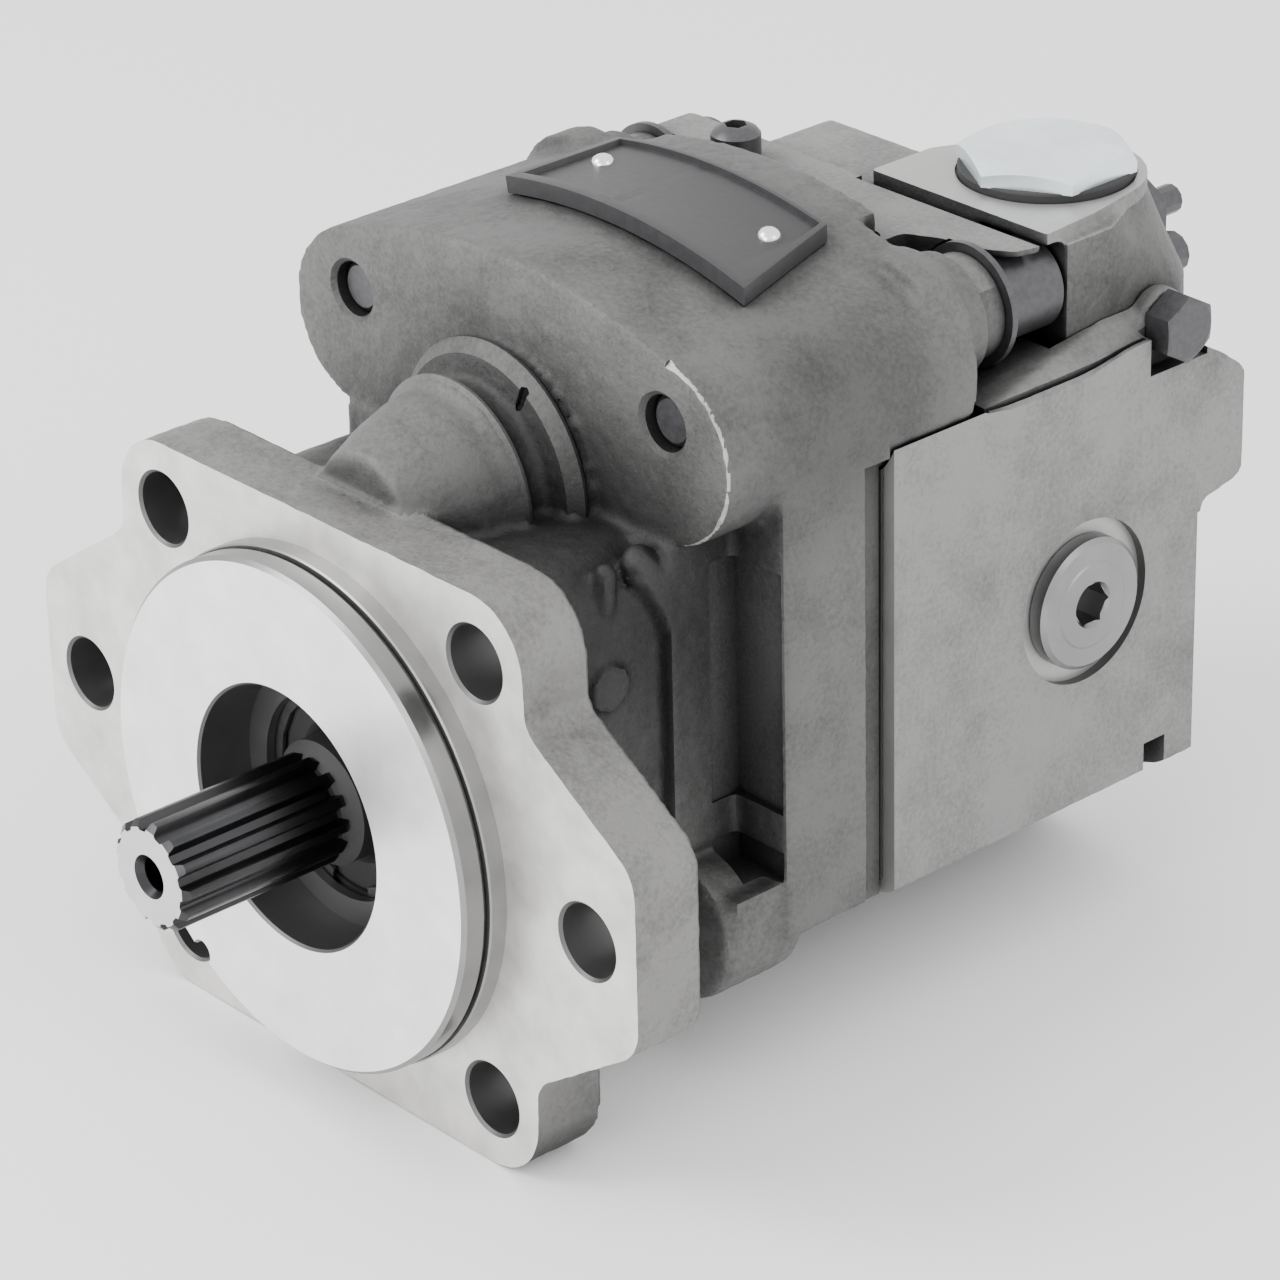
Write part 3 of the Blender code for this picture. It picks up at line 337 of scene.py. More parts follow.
def base_finish(name, metallic):
    finish = bpy.data.materials.new(name)
    finish.use_nodes = True
    tree = finish.node_tree
    shader = tree.nodes["Principled BSDF"]
    shader.inputs["Metallic"].default_value = metallic
    place_node = tree.nodes.new("ShaderNodeTexCoord")
    return finish, tree, shader, place_node.outputs["Object"]


def colour_from(tree, value, stops):
    ramp = tree.nodes.new("ShaderNodeValToRGB")
    ramp.color_ramp.elements[0].position = stops[0][0]
    ramp.color_ramp.elements[0].color = (*stops[0][1], 1)
    ramp.color_ramp.elements[1].position = stops[-1][0]
    ramp.color_ramp.elements[1].color = (*stops[-1][1], 1)
    for position, colour in stops[1:-1]:
        ramp.color_ramp.elements.new(position).color = (*colour, 1)
    tree.links.new(value, ramp.inputs["Fac"])
    return ramp.outputs["Color"]


def value_range(tree, value, low, high):
    spread = node(tree, "ShaderNodeMapRange")
    spread.inputs["To Min"].default_value = low
    spread.inputs["To Max"].default_value = high
    tree.links.new(value, spread.inputs["Value"])
    return spread.outputs["Result"]


def noise_value(tree, coords, scale, detail=4.0, roughness=0.6):
    made = node(tree, "ShaderNodeTexNoise", Scale=scale, Detail=detail, Roughness=roughness)
    tree.links.new(coords, made.inputs["Vector"])
    return made.outputs["Fac"]


def add_bump(tree, shader, heights, distance):
    """Chain of bumps, one for each (height, strength)."""
    last = None
    for height, strength in heights:
        bump = node(tree, "ShaderNodeBump", Strength=strength, Distance=distance)
        tree.links.new(height, bump.inputs["Height"])
        if last is not None:
            tree.links.new(last, bump.inputs["Normal"])
        last = bump.outputs["Normal"]
    tree.links.new(last, shader.inputs["Normal"])


def painted_shade_value(tree, coords, centre, reach, darkest):
    """Painted shade: darkening that fades out with the distance from a place on the part."""
    away = tree.nodes.new("ShaderNodeVectorMath")
    away.operation = "DISTANCE"
    away.inputs[1].default_value = Vector(centre) * MM
    tree.links.new(coords, away.inputs[0])
    fade = node(tree, "ShaderNodeMapRange")
    fade.interpolation_type = "SMOOTHSTEP"
    fade.inputs["From Min"].default_value = reach[0] * MM
    fade.inputs["From Max"].default_value = reach[1] * MM
    fade.inputs["To Min"].default_value = darkest
    fade.inputs["To Max"].default_value = 1.0
    tree.links.new(away.outputs["Value"], fade.inputs["Value"])
    return fade.outputs["Result"]


def cast_finish(name, dark, light, metallic=0.35, rough=(0.5, 0.72), shade_spots=()):
    """Sand-cast iron: grains, blotches, a dull sheen, painted shade darkening the crevices and painted shade
    round the given spots.
    """
    finish, tree, shader, coords = base_finish(name, metallic)
    blotch = noise_value(tree, coords, 60, 6)
    grain = noise_value(tree, coords, 900, 3, 0.7)
    pit = noise_value(tree, coords, 420, 5, 0.65)
    mix = node(tree, "ShaderNodeMath")
    mix.operation = "ADD"
    tree.links.new(blotch, mix.inputs[0])
    half = node(tree, "ShaderNodeMath")
    half.operation = "MULTIPLY"
    half.inputs[1].default_value = 0.8
    tree.links.new(grain, half.inputs[0])
    tree.links.new(half.outputs[0], mix.inputs[1])
    colour = colour_from(tree, mix.outputs[0], [(0.55, dark), (1.25, light)])
    # Painted shade: occlusion darkens the colour in crevices, corners and recesses.
    shadow = tree.nodes.new("ShaderNodeAmbientOcclusion")
    shadow.samples = 6
    shadow.inputs["Distance"].default_value = CREVICE_SHADE_REACH
    depth = node(tree, "ShaderNodeMath")
    depth.operation = "POWER"
    depth.inputs[1].default_value = CREVICE_SHADE_DEPTH
    tree.links.new(shadow.outputs["AO"], depth.inputs[0])
    share = depth.outputs[0]
    # Painted shade that fades out round each given spot.
    for shade_spot in shade_spots:
        product = node(tree, "ShaderNodeMath")
        product.operation = "MULTIPLY"
        tree.links.new(share, product.inputs[0])
        tree.links.new(painted_shade_value(tree, coords, *shade_spot), product.inputs[1])
        share = product.outputs[0]
    painted_shade_colour = tree.nodes.new("ShaderNodeVectorMath")
    painted_shade_colour.operation = "SCALE"
    tree.links.new(colour, painted_shade_colour.inputs[0])
    tree.links.new(share, painted_shade_colour.inputs["Scale"])
    tree.links.new(painted_shade_colour.outputs[0], shader.inputs["Base Color"])
    tree.links.new(value_range(tree, pit, *rough), shader.inputs["Roughness"])
    add_bump(tree, shader, [(pit, 0.35), (grain, 0.35)], 0.0005)
    return finish


def machined_finish(name, colour, rough=(0.25, 0.42), rings=0.0, ring_scale=1500.0, metallic=1.0,
                    smear_depth=0.86):
    """Turned or milled metal: a bright base, faint smears and optional turning rings about Y."""
    finish, tree, shader, coords = base_finish(name, metallic)
    smear = noise_value(tree, coords, 90, 5)
    fine = noise_value(tree, coords, 1500, 2)
    darker = tuple(c * smear_depth for c in colour)
    tree.links.new(colour_from(tree, smear, [(0.3, darker), (0.65, colour)]), shader.inputs["Base Color"])
    tree.links.new(value_range(tree, smear, *rough), shader.inputs["Roughness"])
    heights = [(fine, 0.05)]
    if rings:
        wave = tree.nodes.new("ShaderNodeTexWave")
        wave.wave_type = "RINGS"
        wave.rings_direction = "Y"
        wave.inputs["Scale"].default_value = ring_scale
        wave.inputs["Distortion"].default_value = 0.6
        tree.links.new(coords, wave.inputs["Vector"])
        heights.append((wave.outputs["Fac"], rings))
    add_bump(tree, shader, heights, 0.0002)
    return finish


def plain_finish(name, colour, rough, metallic, bump=0.1, scale=700.0):
    """Even surface with a little mottling."""
    finish, tree, shader, coords = base_finish(name, metallic)
    mottle = noise_value(tree, coords, scale, 4)
    darker = tuple(c * 0.8 for c in colour)
    tree.links.new(colour_from(tree, mottle, [(0.35, darker), (0.65, colour)]), shader.inputs["Base Color"])
    tree.links.new(value_range(tree, mottle, *rough), shader.inputs["Roughness"])
    add_bump(tree, shader, [(mottle, bump)], 0.0003)
    return finish


# Reach and strength of the painted shade in the crevices of the cast finishes.
CREVICE_SHADE_REACH = 0.022
CREVICE_SHADE_DEPTH = 2.1
# Spots (centre, fade distances, darkest share) of painted shade on the front casting's neck, flank and right
# lobe.
NECK_PAINTED_SHADE = (((34, 42, 48), (12, 46), 0.40), ((40, 34, 22), (18, 40), 0.5), ((66, 78, 74), (10, 34), 0.6))
CAST = cast_finish("cast_front", (0.056, 0.056, 0.055), (0.126, 0.125, 0.123), shade_spots=NECK_PAINTED_SHADE)
# Painted light: a lighter copy of the front cast for the flange's sides and back.
CAST_FLANGE_LIT = cast_finish("cast_flange_painted_light", (0.090, 0.089, 0.086), (0.195, 0.193, 0.188))
# Painted shade: a darker copy of the cast for the pockets in the housing's sides.
CAST_POCKET_SHADE = cast_finish("cast_pocket_painted_shade", (0.045, 0.045, 0.045), (0.105, 0.105, 0.104), metallic=0.3)
# Painted highlight: a light copy of the cast for the bevelled front rim of the right lobe.
CAST_RIM_HIGHLIGHT = cast_finish("cast_rim_painted_highlight", (0.22, 0.22, 0.215), (0.40, 0.40, 0.39), rough=(0.4, 0.55))
CAST_REAR = cast_finish("cast_rear", (0.125, 0.125, 0.123), (0.235, 0.235, 0.231))
CAST_INSIDE = plain_finish("cast_inside", (0.06, 0.06, 0.06), (0.5, 0.7), 0.5)
FACE = machined_finish("machined_face", (0.93, 0.93, 0.925), (0.30, 0.44), 0.15, metallic=0.85)
FLANGE_FACE = machined_finish("flange_face", (0.76, 0.75, 0.73), (0.28, 0.50), 0.1, metallic=0.9,
                              smear_depth=0.72)
TURNED = machined_finish("turned_pilot", (0.27, 0.27, 0.268), (0.24, 0.38), 0.0)
BORE = machined_finish("bored_hole", (0.11, 0.11, 0.11), (0.35, 0.55), metallic=0.8)
MILLED = machined_finish("milled_face", (0.42, 0.42, 0.41), (0.35, 0.5), metallic=0.7)
ZINC = machined_finish("zinc_plate", (0.88, 0.89, 0.90), (0.16, 0.30))
ZINC_DULL = machined_finish("dull_zinc", (0.27, 0.27, 0.275), (0.26, 0.42))
CAP_ZINC = machined_finish("pale_zinc", (0.84, 0.92, 0.94), (0.26, 0.40), metallic=0.75)
DARK_STEEL = plain_finish("dark_steel", (0.10, 0.10, 0.105), (0.3, 0.5), 0.85)
SHAFT_STEEL = machined_finish("shaft_steel", (0.050, 0.050, 0.052), (0.22, 0.40))
GROUND_STEEL = machined_finish("ground_steel", (0.62, 0.62, 0.63), (0.18, 0.30))
BRONZE = machined_finish("bronze", (0.62, 0.43, 0.20), (0.25, 0.42))
LABEL = plain_finish("label_black", (0.030, 0.030, 0.032), (0.38, 0.55), 0.0, 0.2, 500.0)
RUBBER = plain_finish("rubber", (0.018, 0.018, 0.018), (0.55, 0.75), 0.0, 0.3)
SPRING = machined_finish("spring_steel", (0.36, 0.36, 0.38), (0.25, 0.40))


# ---------------------------------------------------------------- outlines (x, z)

def mirrored(points):
    return [(-across, up) for across, up in reversed(points)]


def flange_outline():
    quarter = arc((77, 13), 9, 0, 58, 10)
    quarter += [(60.6, 34.6), (59.1, 36.1), (58.1, 38.0)]
    quarter += arc((44.8, 45.5), 13.0, 0, 90, 14)
    upper = quarter + mirrored(quarter)
    return upper + [(x, -z) for x, z in reversed(upper)]


def arch_centre_z():
    """Centre of the arch, which is tangent to both lobes and 96 high."""
    rise = 96.0 - LOBE_Z
    radius = (LOBE_X ** 2 + rise ** 2 - LOBE_R ** 2) / (2 * (rise - LOBE_R))
    return 96.0 - radius


def head_outline(first_angle, floor):
    """Arch and lobes; each lobe starts at first_angle, and floor closes the outline."""
    centre_z = arch_centre_z()
    touch = math.degrees(math.atan2(LOBE_Z - centre_z, LOBE_X))
    lobe = arc((LOBE_X, LOBE_Z), LOBE_R, first_angle, touch, 48)
    arch = arc((0, centre_z), 96.0 - centre_z, touch, 180 - touch, 48)
    return floor + lobe[:-1] + arch + mirrored(lobe[:-1])


def belly_outline(half_width, side_bottom, top, radius=57.0):
    """Straight sides over a round belly."""
    side = [(half_width, top), (half_width, side_bottom), (half_width - 2.5, side_bottom - 1.7)]
    return side + arc((0, 0), radius, -38, -142, 60) + mirrored(side)


def rounded_box_outline(low, high, radii):
    """Rectangle whose corners, from the upper right anticlockwise, have these radii."""
    corners = ((high[0], high[1], 0), (low[0], high[1], 90), (low[0], low[1], 180), (high[0], low[1], 270))
    points = []
    for (x, z, start), radius in zip(corners, radii):
        centre_x = x - radius if start in (0, 270) else x + radius
        centre_z = z - radius if start in (0, 90) else z + radius
        points += arc((centre_x, centre_z), radius, start, start + 90, 10)
    return points


def hexagon(flats, centre=(0, 0), turn=30):
    return arc(centre, flats / math.sqrt(3), turn, turn + 300, 5)


# ---------------------------------------------------------------- front housing

def boss_over_spring():
    """Stepped round boss over the bias spring, with the dome that runs down to the flange."""
    steps = [(0, 12), (13, 12), (16.5, 20), (18.6, 27), (19.4, 31.5), (21.0, 32.8), (21.0, 34.6),
             (18.6, 36.6), (18.6, 40.4), (24.2, 41.6), (25.0, 42.6), (25.0, 44.4), (24.6, 45.6), (24.6, 52),
             (0, 52)]
    return lathe(steps, "Y", (0, BIAS_Z - 1.5), 96)


def ridge_ring(radius, front, back, height):
    """Sharp ring standing on the boss."""
    middle = (front + back) / 2
    section = [(10, front - 1.2), (radius - 1.2, front - 0.9), (radius + 0.1, front + 0.1),
               (radius + height, middle - 0.3), (radius + height, middle + 0.3), (radius + 0.1, back - 0.1),
               (radius - 1.2, back + 0.9), (10, back + 1.2)]
    return lathe(section, "Y", (0, BIAS_Z - 1.5), 128)


def ball_points(at, radius):
    """Corners of a small 14-sided ball."""
    points = []
    for i in range(8):
        turn = math.radians(45 * i)
        points.append((at[0], at[1] + radius * math.cos(turn), at[2] + radius * math.sin(turn)))
    for step in (-0.8, 0.8):
        for i in range(4):
            turn = math.radians(90 * i)
            points.append((at[0] + step * radius, at[1] + 0.6 * radius * math.cos(turn),
                           at[2] + 0.6 * radius * math.sin(turn)))
    return points


def flank_rib():
    """Curved soft rib down the right flank of the neck, with a short upright one beside it."""
    path = [(41.0, 50), (46.3, 40.5), (49.8, 31), (51.6, 24.5), (53.2, 16), (53.6, 9.5), (51.3, 3.5)]
    links = []
    for start, end in zip(path, path[1:]):
        links.append(hull(ball_points((42.8, *start), 3.9) + ball_points((42.8, *end), 3.9)))
    links.append(hull(ball_points((41.8, 33.8, 50), 2.2) + ball_points((41.8, 33.4, 43), 2.2)))
    links.append(hull(ball_points((43.2, 40.4, 47.8), 2.8)))
    links.append(rod(4.6, 36, 44.2, "X", at=(32.6, 27.6)))
    return links


def arch_lip():
    """Arch between the lobes, down to the rear block's tongue."""
    centre_z = arch_centre_z()
    edge = math.degrees(math.acos(29 / (96 - centre_z)))
    return [(-29, STEP_Z), (29, STEP_Z)] + arc((0, centre_z), 96 - centre_z, edge, 180 - edge, 24)


def cast_shapes():
    neck = rounded_box_outline((-42.5, -42.5), (42.5, 52), (11, 11, 25, 25))
    shapes = [
        prism(flange_outline(), -3, FLANGE_BACK),
        prism(neck, 8, 64),
        boss_over_spring(),
        prism(head_outline(-100, []), HEAD_FRONT, 89),
        prism(head_outline(-19.2, [(60, 40)]), 61, 89.5),
        prism(belly_outline(60, -29.5, 66), 61, 89.5),
        prism(head_outline(-200.5, []), 84, LOBE_BACK),
        prism(arch_lip(), LOBE_BACK - 6, ARCH_BACK),
        box((-46, 45.5, -12), (46, 64, 52)),
    ] + flank_rib()
    for side in (-1, 1):
        shapes.append(rod(14.5, 47, 66, at=(side * 44, -28)))
        shapes.append(box((min(side * 28, side * 58.5), 49, -34), (max(side * 28, side * 58.5), 64, -18)))
        boss = [(0, LOBE_BACK - 8), (15.5, LOBE_BACK - 8), (15.5, LOBE_BACK), (BOSS_R + 0.2, LOBE_BACK + 3),
                (BOSS_R + 0.2, BOSS_BACK + 2), (0, BOSS_BACK + 2)]
        shapes.append(lathe(boss, "Y", (side * BOLT_X, BOLT_Z)))
    return shapes


def joint_step():
    """Cutter behind the joint face, below the arch and between the lobes."""
    step = mesh_object("step", [box((-70, BODY_BACK, -70), (70, 130, STEP_Z))])
    for side in (-1, 1):
        cut(step, rod(LOBE_R + 0.05, 60, 140, at=(side * LOBE_X, LOBE_Z), segments=128))
    return object_shape(step)


def lobe_edge_cutter():
    """Cutter that bevels the outer front edge of the right lobe."""
    rim = [(LOBE_R - 0.8, 40), (LOBE_R + 3, 40), (LOBE_R + 3, HEAD_FRONT + 2.0),
           (LOBE_R + 0.5, HEAD_FRONT + 1.3), (LOBE_R - 0.8, HEAD_FRONT - 0.1)]
    edge = mesh_object("edge", [lathe(rim, "Y", (LOBE_X, LOBE_Z), 160)])
    sector = [(LOBE_X, LOBE_Z)]
    for turn in (-72, -10, 40, 84):
        angle = math.radians(turn)
        sector.append((LOBE_X + math.cos(angle) * 40, LOBE_Z + math.sin(angle) * 40))
    combine(edge, [prism(sector, 30, 60)], "INTERSECT")
    return object_shape(edge)


def build_housing():
    housing = mesh_object("housing_casting", cast_shapes())
    cast_skin(housing)
    roughen(housing, 0.16, 2.6)
    pilot = [(0, 1), (51.3, 1), (51.3, -3.4), (51.0, -3.7), (50.0, -3.9), (50.0, -4.7), (PILOT_R, -5.0),
             (PILOT_R, -8.9), (PILOT_R - 0.8, -9.7), (0, -9.7)]
    recess = [(0, -12), (RECESS_R + 0.5, -12), (RECESS_R + 0.5, -9.7), (RECESS_R, -9.2), (RECESS_R, 2.5),
              (20.8, 2.5), (20.8, 4.4), (22.3, 4.4), (22.3, 5.8), (20.8, 5.8), (20.8, 16), (31.3, 16),
              (31.3, 54), (0, 54)]
    cut(housing, box((-100, -20, -100), (100, 0, 100)), joint_step())
    join(housing, lathe(pilot, segments=160), ridge_ring(20.5, 32.8, 35.4, 1.0),
         ridge_ring(24.6, 42.0, 45.4, 1.3))
    tools = [lathe(recess, segments=160), rod(CHAMBER_R, 51, BODY_BACK + 2, segments=96),
             rod(12.5, 38, BODY_BACK + 1, at=(0, BIAS_Z)), box((-9, 51, 38), (9, BODY_BACK + 1, BIAS_Z)),
             box((-100, BOSS_BACK, -100), (100, 200, 200))]
    for at in FLANGE_HOLES:
        tools.append(hole(FLANGE_HOLE_R, 0, FLANGE_BACK + 3, at))
    for side in (-1, 1):
        tools.append(hole(5.5, HEAD_FRONT, BOSS_BACK + 2, (side * BOLT_X, BOLT_Z), 0.9))
        tools.append(hole(5.5, 47, BODY_BACK + 2, (side * LOW_BOLT_X, LOW_BOLT_Z)))
        low, high = sorted((side * 57, side * 63))
        tools.append(box((low, 81.3, -36), (high, BODY_BACK + 1, 61)))
        low, high = sorted((side * 45.6, side * 59.0))
        tools.append(box((low, 55, -3.6), (high, POCKET_BACK, 46)))
        tools.append(box((low, 55, -17.6), (high, POCKET_BACK, -11.4)))
    tools.append(lobe_edge_cutter())
    tools.append(moved(hull(ball_points((0, 0, 1.2), 1.3) + ball_points((0, 0, -2.4), 1.0)),
                       Matrix.Translation((11.6, 41.4, 72.4)) @ Matrix.Rotation(math.radians(20), 4, "Y")))
    notch = moved(lathe([(0, -6), (2.6, -6), (2.6, 6), (0, 6)], "Z", (0, 0), 24),
                  Matrix.Translation((-29, -9.7, -40.5)) @ Matrix.Rotation(math.radians(90), 4, "X"))
    tools.append(notch)
    cut(housing, *tools)
    give(housing, CAST, FACE, TURNED, BORE, CAST_INSIDE, CAST_POCKET_SHADE, CAST_RIM_HIGHLIGHT, CAST_FLANGE_LIT, FLANGE_FACE)
    finish_housing_faces(housing)
    shade(housing)
    settle(housing, "housing", "housing_iron", "front_housing")


def finish_housing_faces(housing):
    def across(centre):
        return math.hypot(centre.x, centre.z)

    def flat_front(centre, normal):
        return normal.y < -0.98 and (centre.y < -9.5 or -0.1 < centre.y < 0.1)

    # Faces of the right lobe's bevelled front rim, which take the painted highlight.
    def lobe_rim_painted_highlight(centre, normal):
        from_lobe = math.hypot(centre.x - LOBE_X, centre.z - LOBE_Z)
        turned = math.degrees(math.atan2(centre.z - LOBE_Z, centre.x - LOBE_X))
        tilted = -0.9 < normal.y < -0.5
        return tilted and centre.y < 48.3 and LOBE_R - 1.2 < from_lobe < LOBE_R + 0.4 and -74 < turned < 86

    # Faces of the side pockets, which get the darker cast as painted shade.
    def pocket_painted_shade(centre, normal):
        return 55 < centre.y < POCKET_BACK + 0.05 and 45 < abs(centre.x) < 59.05 and -18 < centre.z < 46.1

    def on_pilot(centre, normal):
        return centre.y < 0.2 and abs(normal.y) < 0.9 and 49.5 < across(centre) < 52.5

    def in_recess(centre, normal):
        return across(centre) < RECESS_R + 0.7 and -9.68 < centre.y < 40 and not flat_front(centre, normal)

    def in_hole(centre, normal):
        if centre.y > FLANGE_BACK + 1 or abs(normal.y) > 0.9:
            return False
        return any(math.hypot(centre.x - x, centre.z - z) < FLANGE_HOLE_R + 0.9 for x, z in FLANGE_HOLES)

    def in_chamber(centre, normal):
        return across(centre) < CHAMBER_R + 0.1 and 50.9 < centre.y < BODY_BACK - 0.1

    # Sides and back of the flange, which get the lighter cast as painted light.
    def flange_edge_painted_light(centre, normal):
        under_boss = abs(centre.x) < 24 and centre.z > 58.9
        return centre.y < FLANGE_BACK - 0.6 and across(centre) > 53 and not under_boss

    def on_flange_face(centre, normal):
        return flat_front(centre, normal) and centre.y > -1

    paint_faces(housing, 7, flange_edge_painted_light)
    paint_faces(housing, 5, pocket_painted_shade)
    paint_faces(housing, 6, lobe_rim_painted_highlight)
    paint_faces(housing, 1, flat_front)
    paint_faces(housing, 8, on_flange_face)
    paint_faces(housing, 2, on_pilot)
    paint_faces(housing, 3, in_recess)
    paint_faces(housing, 3, in_hole)
    paint_faces(housing, 4, in_chamber)


# ---------------------------------------------------------------- rear block

def block_profile():
    """Side view (y, z) of the rear block."""
    return [(BLOCK_FRONT - 4, -62), (BLOCK_FRONT - 4, 64.5), (105, 64), (112, 62.4), (119, 60.8), (126, 59.8),
            (133, 59.6), (139, 60.4), (145, 61.8), (151, 62.9), (157, 63.3), (163, 62.2), (168, 60.0),
            (173, 57.2), (179, 53.6), (BROW_BACK - 1.2, 50.3), (BROW_BACK, 48.6), (BROW_BACK, 27.6),
            (BROW_BACK - 1.5, 26.2), (BLOCK_BACK + 1.5, 24.2), (BLOCK_BACK + 0.9, 22.6),
            (BLOCK_BACK + 0.9, -62)]


def top_ledge():
    """Raised ledge behind the arch, cut away round the two upper bolts."""
    section = [(-46, 50), (52.4, 50), (52.4, 88.6), (-46, 88.6)]
    ledge = mesh_object("ledge", [prism(section, ARCH_BACK + 0.6, 136.6)])
    for side in (-1, 1):
        plan = [(29, 108), (29, 121.5), (36, 124.8), (46, 126.9), (50.7, 129.9), (52.7, 138), (70, 138),
                (70, 108)]
        plan = [(side * x, y) for x, y in plan]
        low, high = sorted((side * 41, side * 70))
        cut(ledge, prism(plan, POCKET_FLOOR - 1, 100, "Z"),
            box((low, 123.3, POCKET_FLOOR - 1), (high, 140, 85)))
    return object_shape(ledge)


def build_block():
    body = mesh_object("block_casting", [prism(block_profile(), -62, 62, "X")])
    combine(body, [prism(belly_outline(60.6, -29.5, 90, 57.6), 80, 190)], "INTERSECT")
    shelf = []
    for y, z in ((106, 62.0), (152, 67.2)):
        shelf += [(44, y, 50), (60, y, 50), (60, y, 60.6), (52.4, y, z), (44, y, z)]
    upper = [
        box((-24, 84, 50), (24, 137, 76)),
        top_ledge(),
        hull(shelf),
        prism([(44, 50), (60, 50), (60, 60.8), (52.4, 67.4), (44, 67.4)], 150, 171),
        prism([(-59.6, 50), (4.2, 50), (4.2, 84.2), (-28, 84.2), (-44, 73), (-59.6, 63)], 138, 158.5),
        prism([(-59.6, 50), (4.2, 50), (4.2, 66), (-50, 64), (-59.6, 60)], 137, 171),
        rod(6.4, 48, 56.4, "X", at=GAUGE_AT),
    ]
    block = mesh_object("block_casting", [object_shape(body)] + upper)
    cast_skin(block)
    roughen(block, 0.10, 2.2)
    cut_block(block)
    give(block, CAST_REAR, MILLED, BORE, CAST_INSIDE, CAST)
    finish_block_faces(block)
    shade(block)
    settle(block, "housing", "block_iron", "rear_block")


def object_shape(obj):
    """An object's mesh as a bmesh in millimetres; the object is removed."""
    bm = bmesh.new()
    bm.from_mesh(obj.data)
    bm.transform(Matrix.Scale(1 / MM, 4))
    bpy.data.objects.remove(obj)
    return bm


def cut_block(block):
    chamber = [(0, 80), (CHAMBER_R, 80), (CHAMBER_R, 138), (14.4, 138), (14.4, 156), (0, 156)]
    tools = [
        box((-70, 60, -70), (70, BLOCK_FRONT, 110)),
        box((60, 60, -80), (80, 200, 100)),
        box((-80, 60, -80), (-60, 200, 100)),
        box((4.0, 136.9, 62.0), (52.7, 200, 110)),
        box((2.6, 134.9, 79.0), (54.0, 137.5, 100)),
        box((-60, 116, 86.6), (54, 138, 90)),
        box((56.4, 157.5, 55.5), (64, 173.5, 80)),
        rod(4.4, 50, 57, "X", at=GAUGE_AT),
        box((-100, BLOCK_BACK, -80), (100, 200, 22)),
        lathe(chamber, segments=96),
        rod(8.7, 80, 137, at=(0, BIAS_Z)),
        rod(12.5, 80, 96, at=(0, BIAS_Z)),
        box((-9, 80, 38), (9, 96, BIAS_Z)),
    ]
    for x in SCREWS:
        tools.append(rod(2.55, 125, 150, at=(x, 65.2)))
    for side in (-1, 1):
        out = moved(hole(12.5, 0, 36, (0, 0), 1.5, 64), Matrix.Rotation(math.pi, 4, "Z"))
        tools.append(moved(out, Matrix.Translation((side * 30, BLOCK_BACK, -6))))
        tools.append(rod(LOBE_R + 0.7, 60, LOBE_BACK + 4, at=(side * LOBE_X, LOBE_Z), segments=96))
        tools.append(rod(12.8, 80, BOLT_SEAT + 2.3, at=(side * BOLT_X, BOLT_Z), segments=96))
        tools.append(rod(9.6, 120, 142, at=(side * BOLT_X, BOLT_Z)))
        tools.append(rod(5.5, 80, 190, at=(side * LOW_BOLT_X, LOW_BOLT_Z)))
        tools.append(rod(8.6, 158, 200, at=(side * LOW_BOLT_X, LOW_BOLT_Z)))
        low, high = sorted((side * 28, side * 70))
        tools.append(box((low, 158, -70), (high, 164, -24)))
        low, high = sorted((side * 58, side * 63))
        tools.append(rod(17, low, high, "X", at=(PLUG_Y, PLUG_Z), segments=96))
        low, high = sorted((side * 45, side * 63))
        tools.append(rod(9.9, low, high, "X", at=(PLUG_Y, PLUG_Z)))
    cut(block, *tools)
    edge = [(BLOCK_FRONT + 16, 64.0)] + [(y, z) for y, z in block_profile() if 106 < y < 158 and z > 0]
    band = [(y, z - 1.2) for y, z in edge] + [(y, z + 4) for y, z in reversed(edge)]
    cut(block, prism(band, 58.2, 59.2, "X"))
    for side in (-1, 1):
        at = (side * BOLT_X, BOLT_Z)
        low, high = sorted((side * 24, side * BOLT_X))
        join(block, rod(EAR_R, BOSS_BACK + 0.3, BOLT_SEAT - 0.3, at=at, segments=96),
             box((low, BOSS_BACK + 0.3, 56), (high, BOLT_SEAT - 0.3, BOLT_Z)))
        cut(block, rod(5.5, 80, 190, at=at))


def finish_block_faces(block):
    def machined(centre, normal):
        joint = abs(centre.y - BLOCK_FRONT) < 0.05 and abs(normal.y) > 0.95
        rear = abs(centre.y - BLOCK_BACK) < 0.05 and abs(normal.y) > 0.95
        seat = abs(abs(centre.x) - 58) < 0.05 and abs(normal.x) > 0.95
        return joint or rear or seat

    def bored(centre, normal):
        from_plug = math.hypot(centre.y - PLUG_Y, centre.z - PLUG_Z)
        plug_hole = from_plug < 17.2 and abs(normal.x) < 0.5 and abs(centre.x) > 44
        port = any(math.hypot(centre.x - x, centre.z + 6) < 14.2 for x in (-30, 30)) and centre.y > 138
        return plug_hole or (port and abs(normal.y) < 0.9)

    def in_chamber(centre, normal):
        return math.hypot(centre.x, centre.z) < CHAMBER_R + 0.1 and 88.9 < centre.y < 157

    # Faces under the ledge round the upper bolts, which get the darker front cast as painted shade.
    def painted_shade_under_ledge(centre, normal):
        return 116 < centre.y < 136.5 and 62 < centre.z < 86.5 and abs(centre.x) > 28 and normal.z < 0.6

    paint_faces(block, 4, painted_shade_under_ledge)
    paint_faces(block, 3, in_chamber)
    paint_faces(block, 1, machined)
    paint_faces(block, 2, bored)


def control_plan(corner, round_r):
    """Plan of the control body: square at the front, round about the cap at the rear."""
    rear = [(min(max(x, 4.3), 52.4), min(y, 184.6)) for x, y in arc(CAP_AT, round_r, 8, 172, 36)]
    return [(4.3, 137.6), (33, 137.6)] + corner + rear + [(4.3, 154)]


